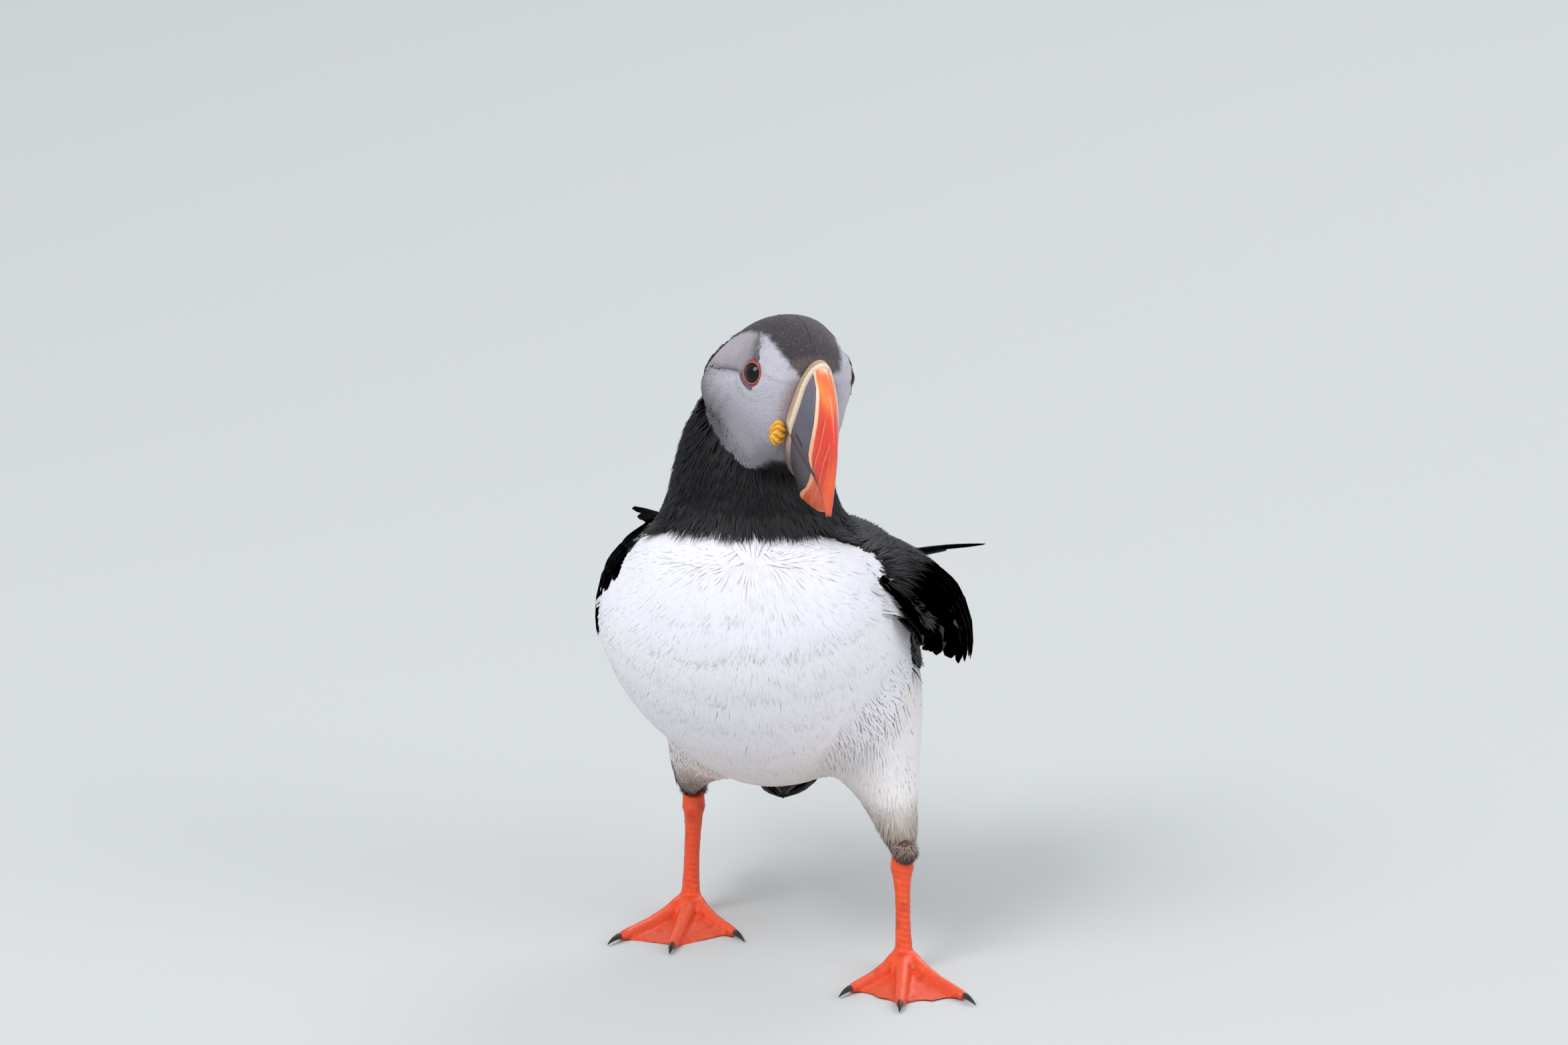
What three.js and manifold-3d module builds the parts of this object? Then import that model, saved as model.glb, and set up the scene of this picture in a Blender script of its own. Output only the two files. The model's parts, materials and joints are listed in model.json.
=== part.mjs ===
/**
 * Atlantic puffin (Fratercula arctica), an adult in summer dress, life size.
 *
 * Millimetres, +Z up. The bird looks along -Y, and +X is its left side. It stands with one leg
 * forward, wings half lifted, and its head turned a little to its left. The origin is the middle
 * of the bounding box's base, on the floor between the feet.
 */
import * as THREE from 'three';
import { LoftGeometry } from 'three/addons/geometries/LoftGeometry.js';
import { mergeVertices } from 'three/addons/utils/BufferGeometryUtils.js';
import Module from 'manifold-3d';

const wasm = await Module();
wasm.setup();

// ---------------------------------------------------------------- driving dimensions

const GAP = 0.3;                     // clearance between two pieces that touch
const MIDLINE = -9;                  // x of the trunk's middle: the body leans to its right

const HEAD_PLACE = [-0.5, -24.9, 175];
const HEAD_YAW = 17;                 // degrees, bill to the bird's left
const HEAD_PITCH = 10;               // degrees, bill down
const HEAD_ROLL = 8;                 // degrees, crown to the bird's left

const FACE_FRONT = 20;               // where the feathered face ends and the cere begins
const DOME_WAIST = 0.17;             // share by which the dome draws in above the cheeks
const BROW_FULLNESS = 0.35;          // added to the section's power in front of the eye
const CERE_DEPTH = 2.9;
const BILL_BASE = FACE_FRONT + GAP + CERE_DEPTH + GAP;
const BILL_TIP = 50;
const BILL_HALF_WIDTH = 5.6;
const CULMEN_BASE = 12.3;            // height of the bill's ridge at its base
const CULMEN_DROP = 33.6;            // how far the ridge comes down to the tip
const GAPE_HEIGHT = -9;              // height of the mouth line at the base
const MOUTH_DROP = 7;                // how far the mouth line slopes down to the tip
const TIP_HOOK = 5.5;                // how much farther the hooked tip comes down
const GONYS_TIP = 48.6;
const CHIN = -21.5;                  // height of the lower mandible's keel at the base

const EYE_RADIUS = 4.3;
const EYE_PLACE = [11.9, 6.7, 2.3];  // middle of the ball: sideways, forward, up
const EYE_OPENING = 3;               // radius of the opening between the lids
const EYE_RING = 4.2;                // outer radius of the bare red ring
const EYE_LOOK = [0.86, 0.45, 0.2];   // sideways, forward, up
const EYE_SKIN = 0.7;                // thickness of the bare ring and the horn plate
const EYE_CUTTER = 12;               // length of the bars that cut the ring out of the face layer

const TOE_LENGTHS = { outer: 34, middle: 36, inner: 27 };
const ANKLE_HEIGHT = 6.2;            // the cut between tarsus and foot
const CLAW_LENGTH = 7;

// ---------------------------------------------------------------- materials

const plumage = (colour, roughness = 0.85) => new THREE.MeshStandardMaterial({ color: colour, roughness });
const FINISH = {
  black: plumage(0x17161a),
  white: plumage(0xe9e6e4),
  face: plumage(0xb9b2ba),
  leg: plumage(0xf0461c, 0.5),
  claw: plumage(0x241f20, 0.4),
  red: plumage(0xf0501f, 0.4),
  slate: plumage(0x565466, 0.45),
  cere: plumage(0xd9c4a4, 0.6),
  rosette: plumage(0xe79b1c, 0.6),
  eye: plumage(0x150c0b, 0.08),
  eyeRing: plumage(0xb4321f, 0.5),
};

// ---------------------------------------------------------------- shape helpers

const DEGREES = Math.PI / 180;
const vector = (x, y, z) => new THREE.Vector3(x, y, z);

/** A smooth table: each row holds the sizes at one station, and the result blends between rows. */
function smoothTable(rows) {
  const columns = rows[0].map((_, column) => new THREE.SplineCurve(
    rows.map((row, index) => new THREE.Vector2(index, row[column])),
  ));
  return (t) => columns.map((curve) => curve.getPoint(t).y);
}

/** A point on a superellipse. turn is 0 to 1, and exponent 2 gives an ellipse. */
function superellipse(turn, across, up, exponent = 2) {
  const c = Math.cos(turn * 2 * Math.PI);
  const s = Math.sin(turn * 2 * Math.PI);
  return [
    across * Math.sign(c) * Math.abs(c) ** (2 / exponent),
    up * Math.sign(s) * Math.abs(s) ** (2 / exponent),
  ];
}

/** Closed triangle mesh to solid, with its faces turned outwards. */
function solidOf(geometry) {
  const bare = new THREE.BufferGeometry();
  bare.setAttribute('position', geometry.getAttribute('position').clone());
  const count = bare.getAttribute('position').count;
  bare.setIndex(geometry.index ? geometry.index.clone() : [...Array(count).keys()]);
  const merged = mergeVertices(bare, 1e-4);
  const points = merged.getAttribute('position').array;
  const corner = (index) => vector(points[3 * index], points[3 * index + 1], points[3 * index + 2]);
  const triangles = [];
  let volume = 0;
  for (let i = 0; i < merged.index.count; i += 3) {
    const [a, b, c] = merged.index.array.slice(i, i + 3);
    if (a === b || b === c || c === a) continue;
    triangles.push(a, b, c);
    volume += corner(a).dot(corner(b).cross(corner(c)));
  }
  if (volume < 0) triangles.reverse();
  return new wasm.Manifold(new wasm.Mesh({
    numProp: 3,
    vertProperties: new Float32Array(points),
    triVerts: new Uint32Array(triangles),
  }));
}

/** A closed solid through a row of rings, each wound so that its faces turn outwards. */
function loft(rings) {
  const [first, second] = rings;
  const centre = (ring) => ring.reduce((sum, point) => sum.add(point), vector()).divideScalar(ring.length);
  const middle = centre(first);
  const facing = vector();
  first.forEach((point, index) => {
    const next = first[(index + 1) % first.length];
    facing.add(point.clone().sub(middle).cross(next.clone().sub(middle)));
  });
  const forward = centre(second).sub(middle);
  if (facing.dot(forward) < 0) rings.forEach((ring) => ring.reverse());
  return solidOf(new LoftGeometry(rings, { capStart: true, capEnd: true }));
}

/** The largest body of a cut piece, without the slivers that a neighbour cut off. */
function largest(solid) {
  const bodies = solid.decompose();
  return bodies.reduce((best, body) => (body.volume() > best.volume() ? body : best));
}

/**
 * A body swept along a smooth path. Each row is x, y, z, half width, half depth, exponent and,
 * where the underside is narrower than the back, the share that it loses there.
 * grow swells the sides and pushes both ends outwards.
 */
function sweep({ rows, steps, around }, grow = 0) {
  const table = smoothTable(rows);
  const centre = (t) => vector(...table(t).slice(0, 3));
  const rings = [];
  for (let step = 0; step <= steps; step += 1) {
    const t = step / steps;
    const [, , , halfWidth, halfDepth, exponent, taper = 0] = table(t);
    const ahead = centre(Math.min(t + 0.01, 1)).sub(centre(Math.max(t - 0.01, 0))).normalize();
    const across = vector(1, 0, 0).addScaledVector(ahead, -ahead.x).normalize();
    const deep = vector().crossVectors(ahead, across);
    const shift = { 0: -grow, [steps]: grow }[step] ?? 0;
    const middle = centre(t).addScaledVector(ahead, shift);
    const ring = [];
    for (let side = 0; side < around; side += 1) {
      const [w, d] = superellipse(side / around, halfWidth + grow, halfDepth + grow, exponent);
      const narrowing = 1 - taper * Math.max(0, d / halfDepth);
      ring.push(middle.clone().addScaledVector(across, w * narrowing).addScaledVector(deep, d));
    }
    rings.push(ring);
  }
  return loft(rings);
}

/** A solid becomes a named mesh of the model. */
function piece(name, solid, finish) {
  const { vertProperties, triVerts, numProp } = solid.getMesh();
  const geometry = new THREE.BufferGeometry();
  const points = new Float32Array((vertProperties.length / numProp) * 3);
  for (let i = 0; i < points.length / 3; i += 1) {
    points.set(vertProperties.slice(i * numProp, i * numProp + 3), i * 3);
  }
  geometry.setAttribute('position', new THREE.BufferAttribute(points, 3));
  geometry.setIndex(new THREE.BufferAttribute(new Uint32Array(triVerts), 1));
  geometry.computeVertexNormals();
  const mesh = new THREE.Mesh(geometry, finish);
  mesh.name = name;
  return mesh;
}

/** The solid of a shape drawn in the plane z = 0, extruded by depth. */
const extruded = (shape, depth) => solidOf(new THREE.ExtrudeGeometry(shape, {
  depth, bevelEnabled: false, curveSegments: 5,
}));

/** Flat list of a matrix that puts a solid's z axis along a direction, at a place. */
function aimed(place, direction, up = vector(0, 0, 1)) {
  const z = direction.clone().normalize();
  const x = vector().crossVectors(up, z).normalize();
  const y = vector().crossVectors(z, x);
  return new THREE.Matrix4().makeBasis(x, y, z).setPosition(place).toArray();
}

// ---------------------------------------------------------------- head
// Head pieces are made in the head's own frame: x to the bird's left, -y forward, z up.

// Forward, top, bottom, half width, height of the widest place.
const HEAD_STATIONS = [
  [-24.5, -2, -8, 4, -5],
  [-22, 2, -15, 14.5, -6],
  [-16.5, 8.6, -20, 20.8, -7],
  [-9.5, 14.9, -23.5, 22, -7.5],
  [-2.5, 17.1, -25.5, 19.9, -7],
  [4, 17.3, -26, 16.7, -6],
  [10, 15.9, -25.5, 15.2, -5.5],
  [16, 13.6, -24, 12.5, -6.5],
  [FACE_FRONT, 11.8, -22.5, 9, -7.5],
];

/** How square the head's section is: rounded behind, fuller at the brow in front of the eye. */
function headPower(forward) {
  return 2.05 + BROW_FULLNESS * THREE.MathUtils.smoothstep(forward, 2, 14);
}

/** Share by which the sides draw in above the cheeks: none at the eye, most at the back of the dome. */
function waist(forward) {
  return DOME_WAIST * THREE.MathUtils.smoothstep(-forward, -4, 6)
    * (1 - THREE.MathUtils.smoothstep(-forward, 14, 24));
}

function headSolid(grow = 0) {
  const table = smoothTable(HEAD_STATIONS);
  const steps = 13;
  const around = 22;
  const rings = [];
  for (let step = 0; step <= steps; step += 1) {
    const [forward, top, bottom, half, widest] = table(step / steps);
    const shift = { 0: -grow, [steps]: grow }[step] ?? 0;
    const ring = [];
    for (let side = 0; side < around; side += 1) {
      const [across, level] = superellipse(side / around, half + grow, 1, headPower(forward));
      const reach = level > 0 ? top - widest + grow : widest - bottom + grow;
      const drawn = 1 - waist(forward) * 4 * Math.max(0, level * (1 - level));
      ring.push(vector(across * drawn, -forward - shift, widest + level * reach));
    }
    rings.push(ring);
  }
  return loft(rings);
}

/** Where the eye looks, and the middle of its ball, on one side. side is -1 right, +1 left. */
function eyeAxis(side) {
  const [sideways, forward, up] = EYE_LOOK;
  return vector(side * sideways, -forward, up).normalize();
}

function eyeCentre(side) {
  const [sideways, forward, up] = EYE_PLACE;
  return vector(side * sideways, -forward, up);
}

const ball = (radius, columns = 12, rows = 6) => solidOf(new THREE.SphereGeometry(radius, columns, rows));

/** A round bar along the eye's axis, for the ring's two edges. */
function eyeBar(side, radius) {
  const disc = new THREE.Shape().absarc(0, 0, radius, 0, 2 * Math.PI);
  return extruded(disc, EYE_CUTTER).transform(aimed(eyeCentre(side), eyeAxis(side)));
}

/** The thin layer just above the face, from which the bare skin round the eye is cut. */
function faceLayer() {
  return headSolid(GAP + EYE_SKIN).subtract(headSolid(GAP));
}

/** The bare ring round the eye, joined to the horn plate below it. */
function eyeRing(side, plate, layer) {
  const prism = extruded(plate, EYE_CUTTER).transform(aimed(eyeCentre(side), eyeAxis(side)));
  const outline = eyeBar(side, EYE_RING).add(prism);
  return largest(layer.intersect(outline).subtract(eyeBar(side, EYE_OPENING)));
}

/** The two horn plates at the eye, drawn in its plane: x forward, y up. */
function eyePlateShapes(side) {
  const forward = -side;
  const upper = new THREE.Shape();
  upper.moveTo(forward * 1, 3.4);
  upper.quadraticCurveTo(forward * 0.2, 6.2, forward * -2.9, 7.5);
  upper.quadraticCurveTo(forward * -3.6, 5.4, forward * -3.4, 2.6);
  upper.lineTo(forward * 1, 3.4);
  const lower = new THREE.Shape();
  lower.moveTo(forward * 1.9, -3.2);
  lower.quadraticCurveTo(forward * -1.4, -6.6, forward * -6, -2.2);
  lower.lineTo(forward * -4.3, -0.4);
  lower.lineTo(forward * 1.9, -3.2);
  return { upper, lower };
}

/** The horn plate above the eye. */
function eyePlate(side, shape, layer) {
  const prism = extruded(shape, EYE_CUTTER).transform(aimed(eyeCentre(side), eyeAxis(side)));
  return largest(layer.intersect(prism).subtract(eyeBar(side, EYE_RING + GAP)));
}

// ---------------------------------------------------------------- bill

const billShare = (forward) => (forward - BILL_BASE) / (BILL_TIP - BILL_BASE);

/** Height of the bill's ridge, a quarter of a flattened ellipse from base to tip. */
function culmen(forward) {
  const reach = Math.min(1, Math.max(0, billShare(forward)));
  return CULMEN_BASE - CULMEN_DROP * (1 - (1 - reach ** 1.8) ** (1 / 1.8));
}

/** Height of the line between the mandibles: a straight slope, then the hook at the tip. */
function mouthLine(forward) {
  const reach = Math.max(0, billShare(forward));
  return GAPE_HEIGHT - MOUTH_DROP * reach - TIP_HOOK * reach ** 6;
}

/** Depth of the lower mandible's keel: a shallow belly, then up to the tip. */
const gonys = smoothTable([[CHIN], [CHIN - 3.6], [CHIN - 3.2], [CHIN - 1.8], [CHIN + 0.6]]);

/** Half width of either mandible, narrowing to the tip. */
const billHalfWidth = (forward) => BILL_HALF_WIDTH * (1 - 0.86 * billShare(forward) ** 1.4);

/** Roundness of a mandible's arch: a round arch at the base, a sharper one at the tip. */
const archPower = (forward) => 2 - 0.35 * Math.max(0, billShare(forward));

/** A mandible section: a flat mouth side, and an arch towards the ridge or the keel. */
function mandibleRing(forward, mouth, edge, half) {
  const ring = [];
  const around = 12;
  for (let side = 0; side <= around; side += 1) {
    const [across, level] = superellipse(side / around / 2, half, 1, archPower(forward));
    ring.push(vector(across, -forward, mouth + level * (edge - mouth)));
  }
  return ring;
}

function upperMandible() {
  const rings = [];
  const steps = 12;
  for (let step = 0; step <= steps; step += 1) {
    const forward = BILL_BASE + (BILL_TIP - BILL_BASE) * Math.sin((step / steps) * 90 * DEGREES);
    rings.push(mandibleRing(forward, mouthLine(forward), culmen(forward), billHalfWidth(forward)));
  }
  return loft(rings);
}

function lowerMandible() {
  const rings = [];
  const steps = 8;
  for (let step = 0; step <= steps; step += 1) {
    const forward = BILL_BASE + (GONYS_TIP - BILL_BASE) * Math.sin((step / steps) * 90 * DEGREES);
    const along = (forward - BILL_BASE) / (GONYS_TIP - BILL_BASE);
    const opening = GAP + 0.5 * Math.sin(along * Math.PI);
    const half = billHalfWidth(forward) * (1 - 0.25 * along) - 0.4;
    rings.push(mandibleRing(forward, mouthLine(forward) - opening, gonys(along)[0], half));
  }
  return loft(rings);
}

/** A rim at the bill's base, above or below the mouth line. */
function billRim(edge, mouth, depth) {
  const swell = Math.sign(edge - mouth);
  const back = FACE_FRONT + GAP;
  return loft([back, back + depth].map((forward, end) => (
    mandibleRing(forward, mouth, edge + swell * (1.1 - 0.5 * end), BILL_HALF_WIDTH + 1.3 - 0.7 * end)
  )));
}

const ROSETTE_HALF = [2.3, 3.1, 3.8];    // half sizes: sideways, forward, up
const ROSETTE_PLACE = [8, 19.3, -10];

/** The wrinkled yellow skin at the corner of the mouth. */
function rosette(side, obstacles) {
  const [sideways, forward, up] = ROSETTE_PLACE;
  const skin = ball(1, 8, 6).scale(ROSETTE_HALF).translate([side * sideways, -forward, up]);
  return largest(obstacles.reduce((rest, obstacle) => rest.subtract(obstacle), skin));
}

// ---------------------------------------------------------------- neck and trunk

const NECK = {
  steps: 7,
  around: 20,
  rows: [
    [-3, -14.5, 168, 14, 14, 2],
    [-8, -13.5, 158, 20.7, 17.5, 2],
    [-11, -16, 146, 23.5, 21.5, 2],
    [-11.5, -16.5, 135, 25.5, 26, 2],
    [-11.5, -14.5, 123.5, 28.5, 30.5, 2],
  ],
};

const TRUNK = {
  steps: 19,
  around: 24,
  rows: [
    [-12, -20, 136, 12, 11, 2, 0],
    [-12, -20, 130.5, 26, 25, 2.1, 0],
    [-12, -19.5, 122, 37.5, 31, 2.1, 0],
    [-10.5, -15, 108, 46.5, 38, 2.1, 0.06],
    [MIDLINE - 0.5, -4, 92, 47.5, 41, 2.05, 0.16],
    [MIDLINE + 3.5, 11, 76, 39.5, 37, 2, 0.16],
    [-3, 28, 62, 33, 26.5, 2, 0.1],
    [-1.5, 44, 51, 24, 18.5, 2, 0],
    [1, 57, 43, 14, 11.5, 2, 0],
    [2, 63, 39, 5, 4.5, 2, 0],
  ],
};

const TAIL = {
  steps: 7,
  around: 12,
  rows: [
    [1, 50, 47, 9, 6.5, 2.2],
    [0, 62, 39, 11, 4.2, 2.4],
    [-1, 74, 30, 10.5, 2, 3],
    [-2, 82, 23.6, 8, 1.3, 3],
    [-2.6, 87.5, 19, 4.5, 0.8, 2.4],
    [-3, 90.5, 16.3, 1.6, 0.5, 2],
  ],
};

// ---------------------------------------------------------------- legs

const LEGS = {
  left: {
    thigh: [
      [10, 12, 94, 12, 12, 2],
      [17.5, 6, 82, 20, 20, 2],
      [21, 1, 70, 18.6, 20, 2],
      [25, -7, 56, 14, 15, 2],
      [29, -15, 45, 8.6, 9.5, 2],
      [30.6, -19.5, 37.5, 5.2, 6, 2],
      [31, -21, 33.2, 3.9, 4.2, 2],
    ],
    tarsus: [
      [31, -21.4, 34.5, 2.7, 2.9, 2],
      [31, -22, 29.5, 3.5, 3.7, 2],
      [31.1, -23, 25, 2.5, 3, 2],
      [31.3, -25, 15, 2.15, 2.8, 2],
      [31.5, -27, ANKLE_HEIGHT - 1, 2.7, 3, 2],
    ],
    toes: { inner: -34, middle: -2, outer: 30 },
  },
  right: {
    thigh: [
      [-18, 6, 80, 14, 14, 2],
      [-22, 12, 68, 17, 19, 2],
      [-26, 20, 55, 13, 14, 2],
      [-28.2, 26, 46, 8.2, 9, 2],
      [-28.5, 29, 40, 5.4, 6, 2],
      [-28.5, 30, 36.6, 4.1, 4.5, 2],
    ],
    tarsus: [
      [-28.4, 30, 38, 2.7, 2.9, 2],
      [-28.3, 30, 32.5, 3.5, 3.7, 2],
      [-28.4, 30, 28, 2.6, 3, 2],
      [-28.9, 29.6, 16, 2.3, 2.9, 2],
      [-29.2, 29, ANKLE_HEIGHT - 1, 2.9, 3.1, 2],
    ],
    toes: { outer: -36, middle: -8, inner: 28 },
  },
};

const tube = (rows, steps, around, grow = 0) => sweep({ rows, steps, around }, grow);

/** A point on the floor under a toe, along is 0 at the ankle and 1 at the toe's tip. */
function toePoint(ankle, angle, length, along) {
  const reach = length * along;
  return [ankle[0] + reach * Math.sin(angle * DEGREES), ankle[1] - reach * Math.cos(angle * DEGREES)];
}

function toeSolid(ankle, angle, length) {
  const at = (along, height, half) => [...toePoint(ankle, angle, length, along), height, half, half * 0.92, 2];
  return tube([
    at(0, ANKLE_HEIGHT - 0.2, 2.9), at(0.12, 4.4, 2.8), at(0.4, 2.5, 2.1), at(0.7, 1.8, 1.9),
    at(0.93, 1.5, 1.8), at(1, 1.3, 1.2),
  ], 6, 8);
}

/** The web between two toes, and under both: thin and hollowed in at its front edge. */
function webSolid(ankle, [angleA, lengthA], [angleB, lengthB]) {
  const rings = [];
  const steps = 4;
  const across = 5;
  const lap = 0.06;
  for (let step = 0; step <= steps; step += 1) {
    const along = 0.04 + 0.9 * (step / steps);
    const crest = 0.9 + 3 * (1 - along) ** 2;
    const [ax, ay] = toePoint(ankle, angleA, lengthA, along);
    const [bx, by] = toePoint(ankle, angleB, lengthB, along);
    const top = [];
    const floor = [];
    for (let column = 0; column <= across; column += 1) {
      const share = (column / across) * (1 + 2 * lap) - lap;
      const hollow = 4 * Math.max(0, share * (1 - share)) * along * along;
      const x = THREE.MathUtils.lerp(ax, bx, share);
      const y = THREE.MathUtils.lerp(ay, by, share) + 4 * hollow;
      top.push(vector(x, y, crest - 0.2 * hollow));
      floor.unshift(vector(x, y, 0));
    }
    rings.push([...top, ...floor]);
  }
  return loft(rings);
}

/** A block between two heights, which cuts a foot or a shank level. */
function slab(low, high) {
  const box = new THREE.BoxGeometry(400, 400, high - low);
  box.translate(0, 0, (low + high) / 2);
  return solidOf(box);
}

const BELOW_FLOOR = slab(-40, 0);

function footSolid(ankle, toes) {
  const parts = Object.entries(toes).map(([toe, angle]) => toeSolid(ankle, angle, TOE_LENGTHS[toe]));
  const spread = Object.entries(toes).map(([toe, angle]) => [angle, TOE_LENGTHS[toe]]);
  parts.push(webSolid(ankle, spread[0], spread[1]), webSolid(ankle, spread[1], spread[2]));
  const heel = ball(3.4, 8, 4).translate([ankle[0], ankle[1] + 0.3, 4.4]);
  return parts.reduce((whole, part) => whole.add(part), heel)
    .subtract(BELOW_FLOOR)
    .subtract(slab(ANKLE_HEIGHT, 40));
}

/** A claw: a cone that bends down to the floor from inside the toe's end. */
function clawSolid(ankle, angle, length) {
  const [x, y] = toePoint(ankle, angle, length - 0.8, 1);
  const toe = toeSolid(ankle, angle, length + GAP);
  const ahead = [Math.sin(angle * DEGREES), -Math.cos(angle * DEGREES)];
  const at = (reach, height, half) => [x + ahead[0] * reach, y + ahead[1] * reach, height, half, half, 2];
  const cone = tube([
    at(0, 1.6, 1.15), at(0.35 * CLAW_LENGTH, 1.75, 0.95), at(0.7 * CLAW_LENGTH, 1.3, 0.6),
    at(CLAW_LENGTH, 0.55, 0.22),
  ], 4, 6);
  return largest(cone.subtract(BELOW_FLOOR).subtract(toe));
}

// ---------------------------------------------------------------- wings

const FINGER = 0.035;                // share by which every other feather tip stands out

// Three rails from the shoulder back: the top edge, the bulge and the tips.
const WING_RAILS = {
  top: [[8, -25, 128], [10, -4, 127], [3, 30, 106], [8, 58, 88]],
  bulge: [[33, -29, 108], [41, -8, 112], [40.5, 30, 103], [32, 64, 93]],
  tips: [[38, -16, 91], [49.6, -6, 87], [49.6, 34, 77], [40, 70, 81]],
};

/**
 * A half-lifted wing, cupped round the flank: its cover of feathers from the top edge to the tips.
 * reach squeezes it towards the body's middle plane, lift raises it, and side mirrors it.
 */
function wingSolid({ side, reach, lift }) {
  const rails = Object.values(WING_RAILS).map(smoothTable);
  const steps = 14;
  const across = 7;
  const place = ([x, y, z]) => vector(MIDLINE + side * reach * (x - MIDLINE), y, z + lift);
  const rings = [];
  for (let step = 0; step <= steps; step += 1) {
    const s = step / steps;
    const [top, bulge, tips] = rails.map((rail) => place(rail(s)));
    const arch = new THREE.QuadraticBezierCurve3(top, bulge.multiplyScalar(2).sub(
      top.clone().add(tips).multiplyScalar(0.5),
    ), tips);
    const finger = 1 + FINGER * Math.cos(step * Math.PI);
    const outer = [];
    const inner = [];
    for (let column = 0; column <= across; column += 1) {
      const t = column / across;
      const skin = arch.getPoint(column === across ? finger : t);
      const inward = vector(-side * t, 0, 0.75 * t - 1).normalize();
      const thickness = THREE.MathUtils.lerp(6, 2, s) * (1 - t) ** 1.2 + 1.1;
      outer.push(skin);
      inner.unshift(skin.clone().addScaledVector(inward, thickness));
    }
    rings.push([...outer, ...inner]);
  }
  return loft(rings);
}

/** The long hand feathers, a flat blade that runs back past the rump from inside the wing. */
function primariesSolid({ side, reach, root, tip }) {
  const place = ([x, y, z]) => [MIDLINE + side * reach * (x - MIDLINE), y, z];
  const along = (share) => place(root.map((value, axis) => THREE.MathUtils.lerp(value, tip[axis], share)));
  return tube([
    [...along(0), 6, 5, 2], [...along(0.2), 8, 3.4, 2.2], [...along(0.45), 8, 1.6, 2.4],
    [...along(0.7), 6.2, 1.1, 2.4], [...along(0.9), 3.8, 0.8, 2.2], [...along(1), 1.2, 0.5, 2],
  ], 8, 10);
}

const WINGS = {
  left: { side: 1, reach: 1, lift: 0, root: [16, 3, 112], tip: [55.7, 112, 87.5] },
  right: { side: -1, reach: 0.78, lift: 7, root: [17, 2, 120], tip: [38, 108, 99.8] },
};

// ---------------------------------------------------------------- assembly

const body = new THREE.Group();
const headGroup = new THREE.Group();
headGroup.rotation.set(HEAD_PITCH * DEGREES, HEAD_ROLL * DEGREES, HEAD_YAW * DEGREES, 'ZXY');
headGroup.position.set(...HEAD_PLACE);
headGroup.updateMatrix();

function addHead() {
  const layer = faceLayer();
  let head = headSolid();
  const skull = headSolid(GAP);
  const cere = billRim(CULMEN_BASE, GAPE_HEIGHT, CERE_DEPTH);
  const base = billRim(CHIN, GAPE_HEIGHT - GAP, CERE_DEPTH + 1);
  headGroup.add(
    piece('bill_upper', upperMandible(), FINISH.red),
    piece('bill_lower', lowerMandible().add(base), FINISH.red),
    piece('cere', cere, FINISH.cere),
  );
  Object.entries({ left: 1, right: -1 }).forEach(([name, side]) => {
    const centre = eyeCentre(side).toArray();
    const { upper, lower } = eyePlateShapes(side);
    const socket = ball(EYE_RADIUS + GAP).translate(centre);
    head = head.subtract(socket);
    headGroup.add(
      piece(`eye_${name}`, ball(EYE_RADIUS).translate(centre), FINISH.eye),
      piece(`eye_ring_${name}`, largest(eyeRing(side, lower, layer).subtract(socket)), FINISH.eyeRing),
      piece(`eye_plate_${name}`, eyePlate(side, upper, layer), FINISH.slate),
      piece(`rosette_${name}`, rosette(side, [skull, cere, base]), FINISH.rosette),
    );
  });
  headGroup.add(piece('head', head, FINISH.face));
}

function addTrunk() {
  const skull = headSolid(GAP).transform(headGroup.matrix.toArray());
  const trunkGrown = sweep(TRUNK, GAP).add(sweep(TRUNK).translate([0, 0, GAP]));
  const neck = largest(sweep(NECK).subtract(skull).subtract(trunkGrown));
  body.add(
    piece('trunk', sweep(TRUNK), FINISH.white),
    piece('neck', neck, FINISH.black),
    piece('tail', largest(sweep(TAIL).subtract(trunkGrown)), FINISH.black),
  );
  return { trunkGrown, neckGrown: sweep(NECK, GAP) };
}

function addLeg(name, { thigh, tarsus, toes }, trunkGrown) {
  const ankle = tarsus.at(-1);
  const foot = footSolid(ankle, toes);
  const shank = tube(tarsus, 7, 10)
    .subtract(tube(thigh, 9, 14, GAP))
    .subtract(slab(-40, ANKLE_HEIGHT + GAP));
  body.add(
    piece(`thigh_${name}`, largest(tube(thigh, 9, 14).subtract(trunkGrown)), FINISH.white),
    piece(`tarsus_${name}`, largest(shank), FINISH.leg),
    piece(`foot_${name}`, foot, FINISH.leg),
  );
  Object.entries(toes).forEach(([toe, angle]) => {
    body.add(piece(`claw_${toe}_${name}`, clawSolid(ankle, angle, TOE_LENGTHS[toe]), FINISH.claw));
  });
}

function addWing(name, wing, { trunkGrown, neckGrown }) {
  const whole = wingSolid(wing).add(primariesSolid(wing));
  body.add(piece(`wing_${name}`, largest(whole.subtract(trunkGrown).subtract(neckGrown)), FINISH.black));
}

addHead();
const trunk = addTrunk();
Object.entries(LEGS).forEach(([name, leg]) => addLeg(name, leg, trunk.trunkGrown));
Object.entries(WINGS).forEach(([name, wing]) => addWing(name, wing, trunk));

const puffin = new THREE.Group();
puffin.add(body, headGroup);
puffin.updateMatrixWorld(true);
const box = new THREE.Box3().setFromObject(puffin, true);
puffin.position.set(-(box.min.x + box.max.x) / 2, -(box.min.y + box.max.y) / 2, -box.min.z);
puffin.updateMatrixWorld(true);

export default puffin;
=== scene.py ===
"""Atlantic puffin, life size: skin, feathers, bill, eyes, feet, studio.

Lengths are millimetres in the body's own frame until a mesh is made. The body's frame is the CAD
frame before its last shift, so x is the bird's left, -y is ahead and z is up.
"""
import json
import math

import bpy
import numpy as np
from mathutils import Matrix, Vector
from mathutils.bvhtree import BVHTree

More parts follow.
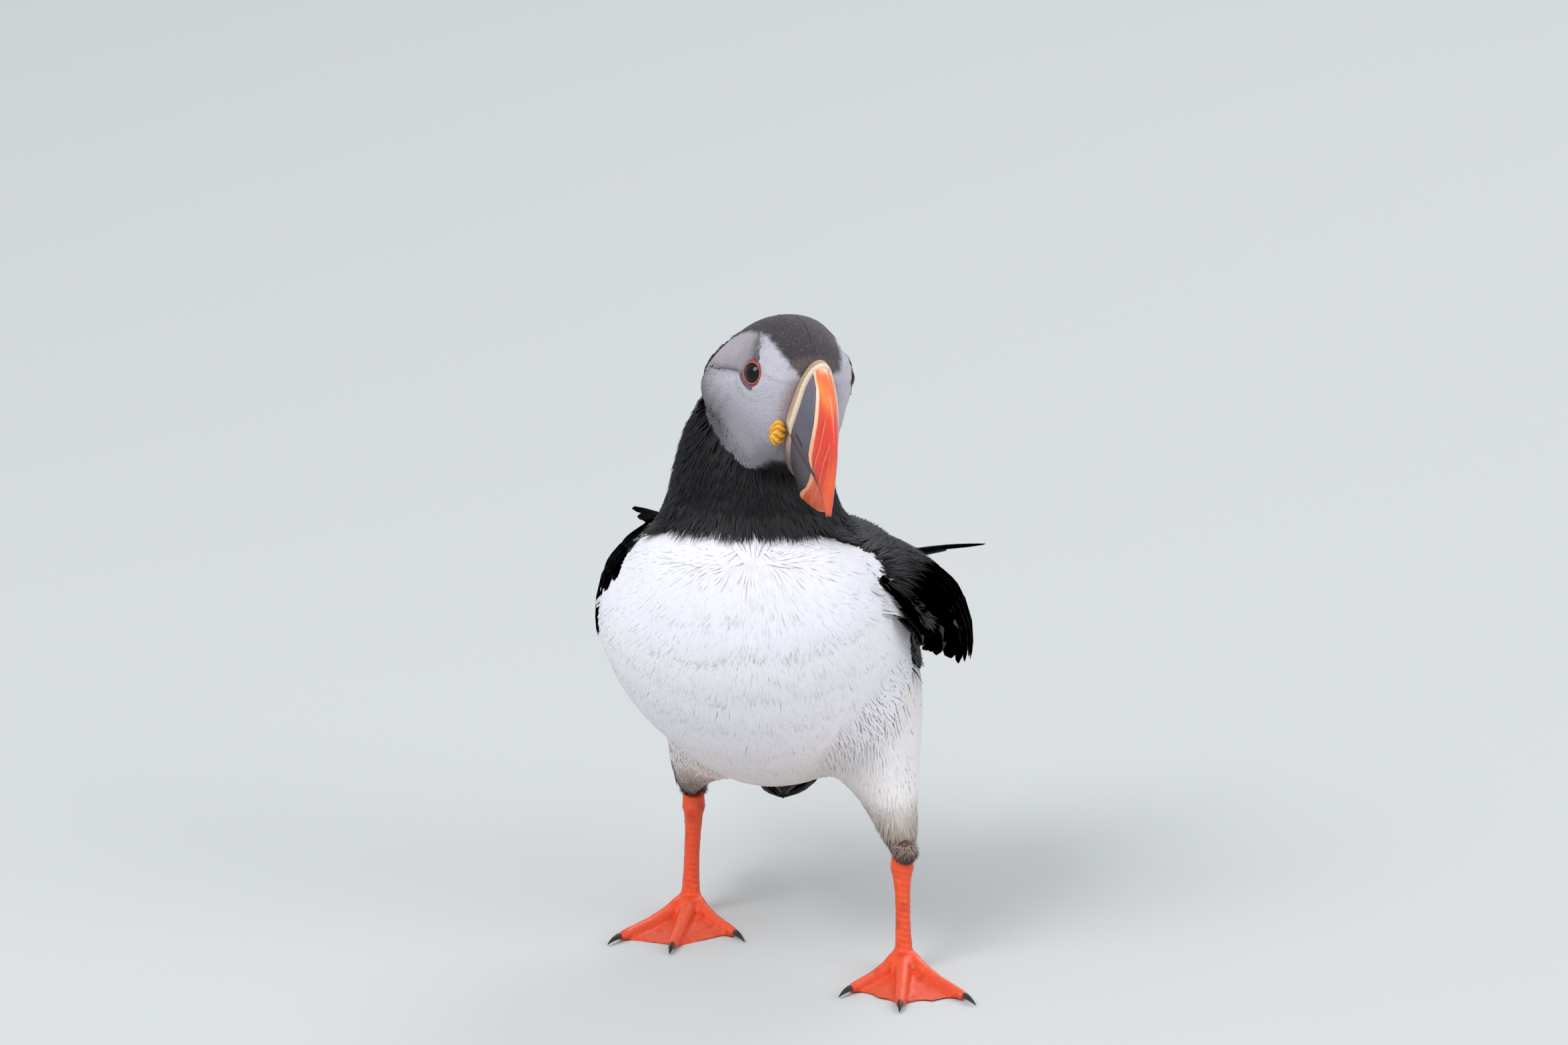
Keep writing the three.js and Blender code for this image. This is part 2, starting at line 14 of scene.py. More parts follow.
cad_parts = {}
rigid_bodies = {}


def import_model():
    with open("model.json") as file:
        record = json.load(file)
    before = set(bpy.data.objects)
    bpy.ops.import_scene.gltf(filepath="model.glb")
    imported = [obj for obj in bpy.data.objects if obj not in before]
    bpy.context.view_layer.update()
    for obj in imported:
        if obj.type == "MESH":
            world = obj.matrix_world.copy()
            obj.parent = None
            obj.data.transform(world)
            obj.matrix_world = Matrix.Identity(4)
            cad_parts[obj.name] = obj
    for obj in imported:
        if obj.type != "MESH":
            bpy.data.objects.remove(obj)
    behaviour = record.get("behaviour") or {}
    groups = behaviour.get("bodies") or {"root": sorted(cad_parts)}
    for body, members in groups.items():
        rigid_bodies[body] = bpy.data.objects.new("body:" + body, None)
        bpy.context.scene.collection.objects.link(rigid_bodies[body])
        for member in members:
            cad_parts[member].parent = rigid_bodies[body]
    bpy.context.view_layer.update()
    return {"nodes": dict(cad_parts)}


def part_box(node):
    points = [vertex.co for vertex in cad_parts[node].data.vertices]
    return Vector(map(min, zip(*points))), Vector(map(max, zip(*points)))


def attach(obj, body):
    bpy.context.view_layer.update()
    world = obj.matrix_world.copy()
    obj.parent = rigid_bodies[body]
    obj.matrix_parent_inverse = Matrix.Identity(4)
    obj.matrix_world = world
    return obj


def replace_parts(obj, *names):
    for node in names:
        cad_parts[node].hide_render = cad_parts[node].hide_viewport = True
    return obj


for leftover in list(bpy.data.objects):
    bpy.data.objects.remove(leftover)
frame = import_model()
MM = 0.001
rng = np.random.default_rng(20)

# ------------------------------------------------------------------ frames

HEAD_PLACE = np.array([-0.5, -24.9, 175.0])
HEAD_TURN = tuple(math.radians(a) for a in (17, 10, 8))     # yaw, pitch, roll
EYE_PLACE = np.array([11.9, -6.7, 2.3])
EYE_LOOK = np.array([0.86, -0.45, 0.2])
EYE_RADIUS = 4.3
FACE_FRONT = 20.0
MIDLINE = -9.0
SIDES = {-1: "right", 1: "left"}


def head_matrix():
    """Turn of the head from its own frame to the body's."""
    turn = Matrix.Identity(3)
    for angle, axis in zip(HEAD_TURN, "ZXY"):
        turn = turn @ Matrix.Rotation(angle, 3, axis)
    return np.array(turn)


def centre_of(node):
    """Middle of a CAD node's box, in mm of the CAD frame."""
    low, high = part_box(node)
    return (np.array(low) + np.array(high)) / 2 / MM


HEAD = head_matrix()
EYES_MIDDLE = (centre_of("eye_left") + centre_of("eye_right")) / 2
SHIFT = EYES_MIDDLE - HEAD @ (EYE_PLACE * (0, 1, 1)) - HEAD_PLACE


def to_head(points):
    """Body frame to the head's own frame: x left, -y forward, z up."""
    return (points - HEAD_PLACE) @ HEAD


def from_head(points):
    """The head's own frame to the body frame."""
    return points @ HEAD.T + HEAD_PLACE


def side_on(local):
    """Forward and up in the head's frame."""
    return -local[:, 1], local[:, 2]


def unit(v):
    """Vectors scaled to a length of 1."""
    return v / np.maximum(np.linalg.norm(v, axis=-1, keepdims=True), 1e-9)


def smooth(low, high, x):
    """0 up to x = low, 1 from x = high, and a soft step between; low may be above high."""
    t = np.clip((x - low) / (high - low), 0, 1)
    return t * t * (3 - 2 * t)


def bell(x, width):
    """1 at x = 0, and next to nothing two widths away."""
    return np.exp(-(x / width) ** 2)


def line(x, *knots):
    """Height of a curve through (x, y) knots, straight between them."""
    xs, ys = zip(*sorted(knots))
    return np.interp(x, xs, ys)


def mix(a, b, share):
    """a where share is 0, b where it is 1."""
    share = np.asarray(share)[..., None]
    return np.asarray(a) * (1 - share) + np.asarray(b) * share


def srgb(r, g, b):
    """A colour given from 0 to 255, in linear light."""
    c = np.array([r, g, b]) / 255
    return np.where(c <= 0.04045, c / 12.92, ((c + 0.055) / 1.055) ** 2.4)


class Noise:
    """Smooth seeded value noise in three dimensions, made of a few random waves."""

    def __init__(self, seed, waves=10):
        own = np.random.default_rng(seed)
        self.way = unit(own.normal(size=(waves, 3))) * own.uniform(0.6, 1.7, (waves, 1))
        self.start = own.uniform(0, 2 * np.pi, waves)

    def __call__(self, points, size):
        return np.sin(points @ (self.way.T * 2 * np.pi / size) + self.start).mean(-1) * 1.8


# ------------------------------------------------------------------ meshes

def placed(name, data):
    """A new object of the scene."""
    thing = bpy.data.objects.new(name, data)
    bpy.context.scene.collection.objects.link(thing)
    return thing


def build(name, points, faces, material, colours=None, uv=None, shading=None):
    """A mesh object from body-frame points. faces is (n, 3) or (n, 4); shading is a normal for each point."""
    faces = np.asarray(faces, np.int32)
    corners = faces.shape[1]
    mesh = bpy.data.meshes.new(name)
    mesh.vertices.add(len(points))
    mesh.vertices.foreach_set("co", ((points + SHIFT) * MM).astype(np.float32).ravel())
    mesh.loops.add(faces.size)
    mesh.loops.foreach_set("vertex_index", faces.ravel())
    mesh.polygons.add(len(faces))
    mesh.polygons.foreach_set("loop_start", np.arange(0, faces.size, corners, dtype=np.int32))
    mesh.polygons.foreach_set("use_smooth", np.full(len(faces), True))
    if uv is not None:
        layer = mesh.uv_layers.new(name="OFBake")
        layer.data.foreach_set("uv", np.asarray(uv, np.float32).ravel())
    if colours is not None:
        tint = mesh.color_attributes.new("tint", "FLOAT_COLOR", "POINT")
        tint.data.foreach_set("color", np.c_[colours, np.ones(len(colours))].astype(np.float32).ravel())
    mesh.update(calc_edges=True)
    mesh.validate()
    if shading is not None:
        mesh.normals_split_custom_set_from_vertices(shading)
    piece = placed(name, mesh)
    mesh.materials.append(material)
    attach(piece, "root")
    return piece


def grid_faces(rows, columns, closed=False, start=0):
    """Quads over a grid of rows by columns. closed joins the last column to the first."""
    i = np.arange(rows - 1)[:, None]
    j = np.arange(columns if closed else columns - 1)[None, :]
    k = (j + 1) % columns
    quads = np.stack([i * columns + j, i * columns + k, (i + 1) * columns + k, (i + 1) * columns + j], -1)
    return quads.reshape(-1, 4) + start


def fan_faces(count):
    """Triangles from the first point of a ring to the rest of it."""
    return np.stack([np.zeros(count - 2, int), np.arange(1, count - 1), np.arange(2, count)], 1)


def turned_out(faces, side):
    """The faces of a shape on the bird's left, turned over for its mirror image on the right."""
    return faces if side > 0 else faces[:, ::-1]


def closed_tube(rings):
    """A tube through rings of points, (rows, columns, 3), with flat ends, its faces turned outward."""
    rows, columns = rings.shape[:2]
    quads = grid_faces(rows, columns, closed=True)
    fan = fan_faces(columns)
    faces = np.concatenate([quads[:, :3], quads[:, [0, 2, 3]], fan[:, ::-1], fan + (rows - 1) * columns])
    points = rings.reshape(-1, 3)
    a, b, c = (points[faces[:, k]] for k in range(3))
    outward = np.einsum("ij,ij->", a, np.cross(b, c)) > 0
    return points, faces if outward else faces[:, ::-1]


def between(p0, p1, p2, p3, w):
    """Catmull-Rom curve from p1 to p2, with w from 0 to 1."""
    v0, v1 = (p2 - p0) / 2, (p3 - p1) / 2
    return (2 * p1 - 2 * p2 + v0 + v1) * w ** 3 + (-3 * p1 + 3 * p2 - 2 * v0 - v1) * w ** 2 + v0 * w + p1


def spline(rows, t):
    """A smooth curve through rows, with t from 0 to 1, as the solids' own tables blend."""
    rows = np.asarray(rows, float)
    last = len(rows) - 1
    at = np.asarray(t, float) * last
    i = np.clip(np.floor(at).astype(int), 0, last - 1)
    w = (at - i)[..., None]
    return between(rows[np.maximum(i - 1, 0)], rows[i], rows[i + 1], rows[np.minimum(i + 2, last)], w)


# ------------------------------------------------------------------ materials

def join(tree, node, **inputs):
    """Gives a node's sockets, named with _ for a space, a value or a link."""
    for name, value in inputs.items():
        socket = node.inputs[name.replace("_", " ")]
        if isinstance(value, bpy.types.NodeSocket):
            tree.links.new(value, socket)
        else:
            socket.default_value = value
    return node


def add_node(tree, kind, **inputs):
    """A new shader node with its sockets set."""
    return join(tree, tree.nodes.new("ShaderNode" + kind), **inputs)


def material(name, roughness=0.7, specular=0.4, sheen=0.0, coat=0.0, coat_rough=0.1,
             grain=(2.0, 0.1), bump=(0.3, 0.05), stretch=(1, 1, 1), rough_swing=0.1):
    """Vertex tint broken up by noise, with bump. grain and bump are (size in mm, strength)."""
    mat = bpy.data.materials.new(name)
    mat.use_nodes = True
    tree = mat.node_tree
    shader = tree.nodes["Principled BSDF"]
    place = add_node(tree, "TexCoord").outputs["Object"]
    scaled = add_node(tree, "Mapping", Vector=place, Scale=stretch).outputs["Vector"]

    def noise(size, detail=3.0):
        texture = add_node(tree, "TexNoise", Vector=scaled, Scale=1 / (size * MM), Detail=detail)
        return texture.outputs["Fac"]

    def swing(source, middle, reach):
        low, high = max(middle - reach, 0), middle + reach
        return add_node(tree, "MapRange", Value=source, To_Min=low, To_Max=high).outputs["Result"]

    tint = tree.nodes.new("ShaderNodeAttribute")
    tint.attribute_name = "tint"
    size, strength = grain
    blend = tree.nodes.new("ShaderNodeVectorMath")
    blend.operation = "SCALE"
    relief = add_node(tree, "Bump", Strength=1.0, Distance=bump[1] * MM, Height=noise(bump[0], 4.0))
    join(tree, blend, Vector=tint.outputs["Color"], Scale=swing(noise(size), 1, strength))
    join(tree, shader, Specular_IOR_Level=specular, Sheen_Weight=sheen, Sheen_Roughness=0.5, Coat_Weight=coat,
         Coat_Roughness=coat_rough, Base_Color=blend.outputs["Vector"],
         Roughness=swing(noise(size * 1.7), roughness, rough_swing), Normal=relief.outputs["Normal"])
    return mat


PLUMAGE = material("plumage", roughness=0.72, specular=0.25, sheen=0.12, grain=(3.0, 0.06), bump=(0.35, 0.05))
DARK = material("dark plumage", roughness=0.5, specular=0.28, grain=(2.5, 0.25), bump=(0.3, 0.04))
SKIN = material("skin", roughness=0.8, specular=0.2, grain=(0.8, 0.12), bump=(0.4, 0.15))
FLIGHT = material("flight feathers", roughness=0.48, specular=0.45, grain=(6.0, 0.2), bump=(0.25, 0.05))
HORN = material("bill horn", roughness=0.36, specular=0.5, coat=0.15, coat_rough=0.25,
                grain=(1.6, 0.1), bump=(0.7, 0.05), stretch=(1, 1, 0.35))
CERE = material("cere", roughness=0.6, specular=0.35, grain=(0.6, 0.1), bump=(0.35, 0.1))
ROSETTE = material("mouth corner", roughness=0.5, specular=0.4, grain=(0.8, 0.15), bump=(0.5, 0.12))
BARE = material("eye skin", roughness=0.45, specular=0.45, grain=(0.6, 0.15), bump=(0.3, 0.05))
EYE = material("eye", roughness=0.05, specular=0.25, grain=(0.8, 0.2), bump=(2.0, 0.002), rough_swing=0.02)
LEG = material("leg skin", roughness=0.42, specular=0.45, grain=(1.2, 0.14), bump=(0.5, 0.08))
CLAW = material("claw", roughness=0.35, specular=0.5, grain=(0.7, 0.3), bump=(0.5, 0.06))

# ------------------------------------------------------------------ camera first

ELEVATION = math.radians(15.5)
VIEW_WIDTH = 443.8                     # mm across the frame at the bird
AIM_X, AIM_V = -1.9, 114.3             # what the frame's middle shows, in the CAD frame
CAMERA_DISTANCE = 5000.0
DEPTH = -25.0


def place_camera():
    """A long lens, level with the picture, looking down on the bird."""
    data = bpy.data.cameras.new("camera")
    data.sensor_width = 36
    data.lens = 36 * CAMERA_DISTANCE / VIEW_WIDTH
    data.clip_end = 50
    height = (AIM_V - DEPTH * math.sin(ELEVATION)) / math.cos(ELEVATION)
    aim = np.array([AIM_X, DEPTH, height])
    eye = aim + CAMERA_DISTANCE * np.array([0, -math.cos(ELEVATION), math.sin(ELEVATION)])
    camera = placed("camera", data)
    camera.location = eye * MM
    camera.rotation_euler = (math.pi / 2 - ELEVATION, 0, 0)
    bpy.context.scene.camera = camera


place_camera()

# ------------------------------------------------------------------ skin

BODY = ["head", "neck", "trunk", "tail", "thigh_left", "thigh_right"]
FLESH = BODY + ["wing_left", "wing_right"]
LIMBS = ["tarsus_left", "tarsus_right", "foot_left", "foot_right"]
ON_HEAD, ON_NECK, ON_TRUNK, ON_TAIL, ON_THIGHS, ON_WINGS = 0, 1, 2, 3, 4, 6     # places in FLESH


def mesh_arrays(mesh):
    """Points and triangles of a Blender mesh, in metres."""
    mesh.calc_loop_triangles()
    co = np.empty(len(mesh.vertices) * 3)
    mesh.vertices.foreach_get("co", co)
    tri = np.empty(len(mesh.loop_triangles) * 3, np.int32)
    mesh.loop_triangles.foreach_get("vertices", tri)
    return co.reshape(-1, 3), tri.reshape(-1, 3)


def node_arrays(names):
    """Body-frame points and triangles of some CAD nodes, and which node each triangle is from."""
    points, triangles, owner, start = [], [], [], 0
    for index, name in enumerate(names):
        co, tri = mesh_arrays(frame["nodes"][name].data)
        points.append(co / MM - SHIFT)
        triangles.append(tri + start)
        owner.append(np.full(len(tri), index))
        start += len(co)
    return np.concatenate(points), np.concatenate(triangles), np.concatenate(owner)


def ball_arrays(centre, radius, start, rows=10, columns=16):
    """Points and faces of a ball, its points numbered from start."""
    theta = np.linspace(0.01, np.pi - 0.01, rows)[:, None]
    phi = np.linspace(0, 2 * np.pi, columns, endpoint=False)[None, :]
    ring = np.stack([np.sin(theta) * np.cos(phi), np.sin(theta) * np.sin(phi), np.cos(theta) + 0 * phi], -1)
    points, faces = closed_tube(centre + radius * ring)
    return points, faces + start


def remeshed(points, triangles, voxel):
    """One closed surface round all the given bodies, as points and triangles in the body frame."""
    mesh = bpy.data.meshes.new("voxels")
    mesh.from_pydata((points * MM).tolist(), [], triangles.tolist())
    body = placed("voxels", mesh)
    modifier = body.modifiers.new("remesh", "REMESH")
    modifier.mode = "VOXEL"
    modifier.voxel_size = voxel * MM
    modifier.adaptivity = 0
    bpy.context.view_layer.update()
    done = body.evaluated_get(bpy.context.evaluated_depsgraph_get()).to_mesh()
    co, tri = mesh_arrays(done)
    bpy.data.objects.remove(body)
    bpy.data.meshes.remove(mesh)
    return co / MM, tri


class Surface:
    """A triangle surface with normals, areas and smoothing."""

    def __init__(self, points, triangles):
        self.points, self.triangles = points, triangles
        pairs = np.sort(np.concatenate([triangles[:, [0, 1]], triangles[:, [1, 2]], triangles[:, [2, 0]]]), 1)
        self.edges = np.unique(pairs, axis=0)
        self.degree = np.bincount(self.edges.ravel(), minlength=len(points)).astype(float)

    def around(self, values):
        a, b = self.edges.T
        total = np.empty_like(values)
        for column in range(values.shape[1]):
            v = values[:, column]
            total[:, column] = np.bincount(a, v[b], len(v)) + np.bincount(b, v[a], len(v))
        return total / np.maximum(self.degree, 1)[:, None]

    def diffuse(self, values, steps):
        flat = values.astype(float)[:, None]
        for _ in range(steps):
            flat = (flat + self.around(flat)) / 2
        return flat[:, 0]

    def relax(self, steps, rate):
        rate = np.asarray(rate, float).reshape(-1, 1)
        for _ in range(steps):
            self.points += rate * (self.around(self.points) - self.points)

    def normals(self):
        a, b, c = (self.points[self.triangles[:, k]] for k in range(3))
        face = np.cross(b - a, c - a)
        self.areas = np.linalg.norm(face, axis=1) / 2
        total = np.zeros_like(self.points)
        for corner in range(3):
            for axis in range(3):
                total[:, axis] += np.bincount(self.triangles[:, corner], face[:, axis], len(total))
        return unit(total)

    def tree(self):
        return BVHTree.FromPolygons(self.points.tolist(), self.triangles.tolist())


def nearest(tree, points):
    """Nearest surface point, its normal, and its triangle, for each point."""
    place, normal, index = np.empty_like(points), np.empty_like(points), np.empty(len(points), int)
    find = tree.find_nearest
    for k, point in enumerate(points.tolist()):
        hit = find(point)
        place[k], normal[k], index[k] = hit[0], hit[1], hit[2]
    return place, normal, index


# ------------------------------------------------------------------ markings

WHITE = srgb(238, 236, 242)
FACE_PALE = srgb(186, 183, 193)
CREAM = srgb(226, 219, 212)
BLACK = srgb(20, 18, 21)
CROWN = srgb(54, 47, 54)
DOME = srgb(148, 142, 149)
FACE_SHADE = srgb(140, 136, 143)
WING_DARK = srgb(30, 26, 28)
LEG_RED = srgb(226, 78, 36)
WEB_RED = srgb(214, 72, 34)

noise_a, noise_b, noise_c = Noise(1), Noise(2), Noise(3)


def cap_line(f):
    """Height at which the pale face ends under the black cap."""
    return line(f, (-17, -2), (-15.4, 0.2), (-13.8, 3), (-12, 4.9), (-9, 6.9), (-5, 9.6), (-0.1, 11.5),
                   (4.1, 12.1), (9, 11.8), (12.7, 11.1), (16.5, 9.7), (19.1, 7.9), (20.4, 5.6))


def chin_line(f):
    """Height at which the black throat ends under the pale face."""
    return line(f, (-13.5, -12), (-11.8, -15.2), (-4.2, -18.3), (2.1, -22), (6, -23.4), (9.7, -24.8),
                   (12.9, -23.3), (17.4, -19.1), (20, -17.5))


def rear_line(u):
    """How far back the pale face reaches."""
    return line(u, (-22, -4), (-18.3, -9), (-15, -12), (-11, -14.5), (-4, -15.5), (2, -17.3), (8, -16))


def crease_line(f):
    """Height of the furrow that runs back from the eye."""
    return line(f, (-13, -4.8), (-8.7, -3.7), (-4.4, -2), (0.7, -0.3), (4.4, 1), (9, 2.4))


FOLD = [(6.4, 7.0), (5.6, 8.8), (3.0, 10.0), (0.5, 10.4), (-2, 10.0), (-4.6, 8.9), (-9, 6.4)]


def fold_line(f):
    """Height of the fold over the dome above the eye."""
    return line(f, *FOLD, (-12, 5), (7, 5.6), (7.4, 4))


def face_share(f, u, soft=0.8):
    """1 on the pale face, 0 on the black of the cap, nape and throat."""
    above = smooth(soft, -soft, u - cap_line(f))
    below = smooth(-soft, soft, u - chin_line(f))
    behind = smooth(-soft, 2 * soft, f - rear_line(u))
    return above * below * behind


def head_colour(local):
    """Colour of cap, nape, throat and the pale face with its shaded dome, furrow and fold."""
    f, u = side_on(local)
    wobble = noise_a(local, 5.0) * 0.5 + noise_b(local, 1.6) * 0.3
    face = face_share(f + wobble * 0.6, u + wobble * 0.5)
    colour = mix(FACE_PALE, FACE_SHADE, np.clip(smooth(2, -16, u) * 0.75 + smooth(2, -10, f) * 0.3, 0, 1))
    low = smooth(8, -10, f) * smooth(-2, -13, u) + smooth(-7, -14, f) * 0.45
    low += smooth(7, 0.5, u - chin_line(f)) * 0.6
    colour = mix(colour, srgb(84, 79, 83), np.clip(low + 0.25 * wobble * (low > 0.1), 0, 1) * 0.85)
    crease, fold = u - crease_line(f), fold_line(f) - u
    fold = fold + 5 * smooth(1.5, -4, f)
    dome = smooth(-0.3, 0.7, crease) * smooth(-0.3, 0.8, fold) * smooth(8.6, 6.6, f)
    # Painted light and shade on the dome. Its grey is partly its own tone and partly painted shade behind the
    # fold. It is painted lighter high up, with a painted shadow along the fold.
    high = smooth(1.5, 5, crease) * smooth(1, 5, fold) * smooth(3, -6, f)
    grey = mix(DOME, srgb(172, 166, 173), high * 0.7)
    grey = mix(grey, srgb(92, 85, 92), 0.85 * smooth(3.4, 0.2, fold) * smooth(-8, 2, f))
    grey = mix(grey, srgb(58, 52, 58), 0.8 * smooth(0.9, 0.1, fold) * smooth(-5, 2, f))
    # Painted shade in the furrow behind the eye.
    grey = mix(grey, srgb(112, 104, 106), 0.5 * smooth(1.8, 0.2, crease))
    colour = mix(colour, grey, dome)
    strip = smooth(18.4, 20, f) * smooth(8, 5, u) * smooth(-12, -7, u)
    colour = mix(colour, srgb(150, 108, 88), strip * 0.7)
    dark = mix(CROWN, BLACK, smooth(-6, -16, f) * 0.75 + smooth(-10, -20, u) * 0.9)
    dark = mix(dark, srgb(120, 104, 102), smooth(15.5, 19.5, f) * smooth(-2, 4, u) * 0.55)
    return mix(dark, colour, face)


def dorsal(points):
    """How far a point is towards the back from the line through the trunk, in mm."""
    return (points[:, 1] + 20) * 0.739 + (points[:, 2] - 130) * 0.674


def collar_line(x):
    """Height at which the black collar ends and the white breast begins."""
    return line(x, (-40, 128), (-34, 131), (-20, 134.5), (-5, 134), (4, 131.5), (15, 125.5), (24, 120))


def back_line(points):
    """Place along dorsal() where the white flank gives way to the black back."""
    out = np.abs(points[:, 0] + 10)
    edge = line(out, (18, 5), (25, -0.5), (29, -6.5), (33.6, -11.5), (39.6, -16.4), (43, -19.5), (60, -20))
    lower = smooth(84, 60, points[:, 2])
    return edge + lower * (8 - edge) + np.where(points[:, 0] < -10, 34 * smooth(12, 26, out) * (1 - lower), 0)


def dark_share(points):
    """1 on the black collar, shoulders and back, 0 on the white breast, flanks and belly."""
    wobble = noise_a(points, 14.0) * 0.9 + noise_b(points, 4.0) * 0.6
    back = smooth(-1, 1, dorsal(points) - back_line(points) + wobble)
    collar = smooth(-0.8, 0.8, points[:, 2] - collar_line(points[:, 0]) + wobble)
    return np.maximum(back, collar)


def lapped(points):
    """1 where the white breast feathers lap over the front of the bird's right wing."""
    front = smooth(17, 11, points[:, 1] + 2 * noise_a(points, 8.0))
    below = smooth(1, -1, points[:, 2] - collar_line(points[:, 0]))
    return front * below * (points[:, 0] < -10)


def trunk_colour(points):
    """White below, a little creamier low down as painted warm shade on the lower belly, black on collar and
    back.
    """
    # Painted warm shade: the white turns creamier low on the belly.
    pale = mix(WHITE, CREAM, smooth(80, 46, points[:, 2]) * 0.9)
    pale = pale * (1 + 0.025 * noise_c(points, 9.0))[:, None]
    return mix(pale, BLACK, dark_share(points))


def thigh_colour(points):
    """White, darkening to brown at the hock."""
    z = points[:, 2] + noise_b(points, 4.0) * 1.5
    pale = mix(WHITE, CREAM, 0.55)
    pale = mix(pale, srgb(172, 160, 152), smooth(56, 44, z))
    return mix(pale, srgb(70, 58, 56), smooth(43, 38.5, z))


def leg_colour(points):
    """Blotched orange red, redder on the webs, brown at the hock."""
    x, z = points[:, 0], points[:, 2]
    colour = mix(WEB_RED, LEG_RED, smooth(0.6, 3.0, z + noise_b(points, 3.0) * 0.6))
    colour = mix(colour, srgb(176, 48, 26), smooth(0.2, 0.9, noise_a(points, 7.0)) * 0.45)
    colour = mix(colour, srgb(238, 108, 52), smooth(0.3, 1.0, noise_c(points, 4.0)) * 0.35)
    return mix(colour, srgb(84, 52, 46), smooth(-1.5, 0.5, z - HOCKS[(x < -5).astype(int), 2]))


def markings(points, owner):
    """The bird's colour at body-frame points, by the node that each one lies on."""
    colour = np.tile(BLACK, (len(points), 1))
    for index, name in enumerate(FLESH + LIMBS):
        here = owner == index
        if not here.any():
            continue
        p = points[here]
        if name == "head":
            colour[here] = head_colour(to_head(p))
        elif name == "neck":
            local = to_head(p)
            cheek = face_share(-local[:, 1], local[:, 2])
            colour[here] = mix(trunk_colour(p), head_colour(local), cheek)
        elif name == "trunk":
            colour[here] = trunk_colour(p)
        elif name.startswith("thigh"):
            colour[here] = thigh_colour(p)
        elif name.startswith("wing"):
            colour[here] = mix(WING_DARK, WHITE, lapped(p))
        elif name in LIMBS:
            colour[here] = leg_colour(p)
    return colour


# ------------------------------------------------------------------ wings' own shape

WING_TOP = [[8, -25, 128], [10, -4, 127], [3, 30, 106], [8, 58, 88]]
WING_BULGE = [[33, -29, 108], [41, -8, 112], [40.5, 30, 103], [32, 64, 93]]
WING_TIPS = [[38, -16, 91], [49.6, -6, 87], [49.6, 34, 77], [40, 70, 81]]
WINGS = {"left": (1, 1.0, 0.0), "right": (-1, 0.78, 7.0)}           # side, reach, lift
BLADES = {"left": ([16, 3, 112], [55.7, 112, 87.5]), "right": ([17, 2, 120], [38, 108, 99.8])}
BLADE = [[6, 5], [8, 3.4], [8, 1.6], [6.2, 1.1], [3.8, 0.8], [1.2, 0.5]]    # half width, half depth
TAIL = [[1, 50, 47, 9, 6.5], [0, 62, 39, 11, 4.2], [-1, 74, 30, 10.5, 2], [-2, 82, 23.6, 8, 1.3],
        [-2.6, 87.5, 19, 4.5, 0.8], [-3, 90.5, 16.3, 1.6, 0.5]]


def wing_place(wing, s, t):
    """The wing's outer face: s from its front edge back, t from its top down to the tips."""
    side, reach, lift = WINGS[wing]
    s, t = np.broadcast_arrays(np.asarray(s, float), np.asarray(t, float))
    top, bulge, tips = (spline(rail, s) for rail in (WING_TOP, WING_BULGE, WING_TIPS))
    t = t[..., None]
    p = (1 - t) ** 2 * top + 2 * t * (1 - t) * (2 * bulge - (top + tips) / 2) + t * t * tips
    return p * (side * reach, 1, 1) + (MIDLINE * (1 - side * reach), 0, lift)


def wing_normal(wing, s, t):
    """Unit normal of the wing's outer face."""
    e = 0.01
    across = wing_place(wing, np.add(s, e), t) - wing_place(wing, np.add(s, -e), t)
    down = wing_place(wing, s, np.add(t, e)) - wing_place(wing, s, np.add(t, -e))
    return unit(np.cross(across, down)) * -WINGS[wing][0]


def blade_frame(wing):
    """Root and tip of the folded hand's blade, and its sideways and downward axes."""
    side, reach, _ = WINGS[wing]
    middle = np.array([MIDLINE, 0, 0])
    root, tip = ((np.array(p) - middle) * (side * reach, 1, 1) + middle for p in BLADES[wing])
    ahead = unit(tip - root)
    across = unit(np.array([1.0, 0, 0]) - ahead * ahead[0])
    return root, tip, across, np.cross(ahead, across)


def wing_shells():
    """Thin cores of the wings and of the long blades behind them, on which the feathers lie."""
    bodies = []
    for wing in WINGS:
        side = WINGS[wing][0]
        s = np.linspace(0.004, 0.996, 60)[:, None]
        t = np.linspace(0.0, 0.86, 26)[None]
        outer = wing_place(wing, s, t)
        inward = unit(np.stack(np.broadcast_arrays(-side * t, 0 * t, 0.75 * t - 1), -1))
        thick = (6 - 4 * s) * (1 - t) ** 1.2 + 1.1
        ring = np.concatenate([outer + inward * 0.9, (outer + inward * (thick - 0.3)[..., None])[:, ::-1]], 1)
        bodies.append(closed_tube(ring))
        root, tip, wide, deep = blade_frame(wing)
        share = np.linspace(0, 0.62, 20)
        half = spline(BLADE, share)
        angle = np.linspace(0, 2 * math.pi, 20, endpoint=False)
        centre = root + share[:, None] * (tip - root)
        ring = (centre[:, None] + (half[:, 0] - 2)[:, None, None] * np.cos(angle)[None, :, None] * wide
                + (half[:, 1] * 0.6)[:, None, None] * np.sin(angle)[None, :, None] * deep)
        bodies.append(closed_tube(ring))
    return bodies


# ------------------------------------------------------------------ skin, continued

SKIN_VOXEL, LEG_VOXEL, CLAW_VOXEL = 1.02, 0.47, 0.16
LID_GAP = 0.35                         # how far the skin is kept off the eyeball
COAT_DEPTH = {"head": 0.6, "neck": 3.0, "trunk": 2.8, "tail": 0.9, "thigh_left": 2.2, "thigh_right": 2.2}


def eye_frame(side):
    """Middle of the ball, and the forward, up and outward axes of an eye, in the head's frame."""
    out = unit(EYE_LOOK * (side, 1, 1))
    ahead = unit(np.array([0, -1.0, 0]) - out * -out[1])
    up = np.cross(ahead, out) * side
    return EYE_PLACE * (side, 1, 1), ahead, up, out


def eye_coordinates(local, side):
    """Places seen from an eye's middle: ahead, up and outward."""
    middle, ahead, up, out = eye_frame(side)
    rel = local - middle
    return rel @ ahead, rel @ up, rel @ out


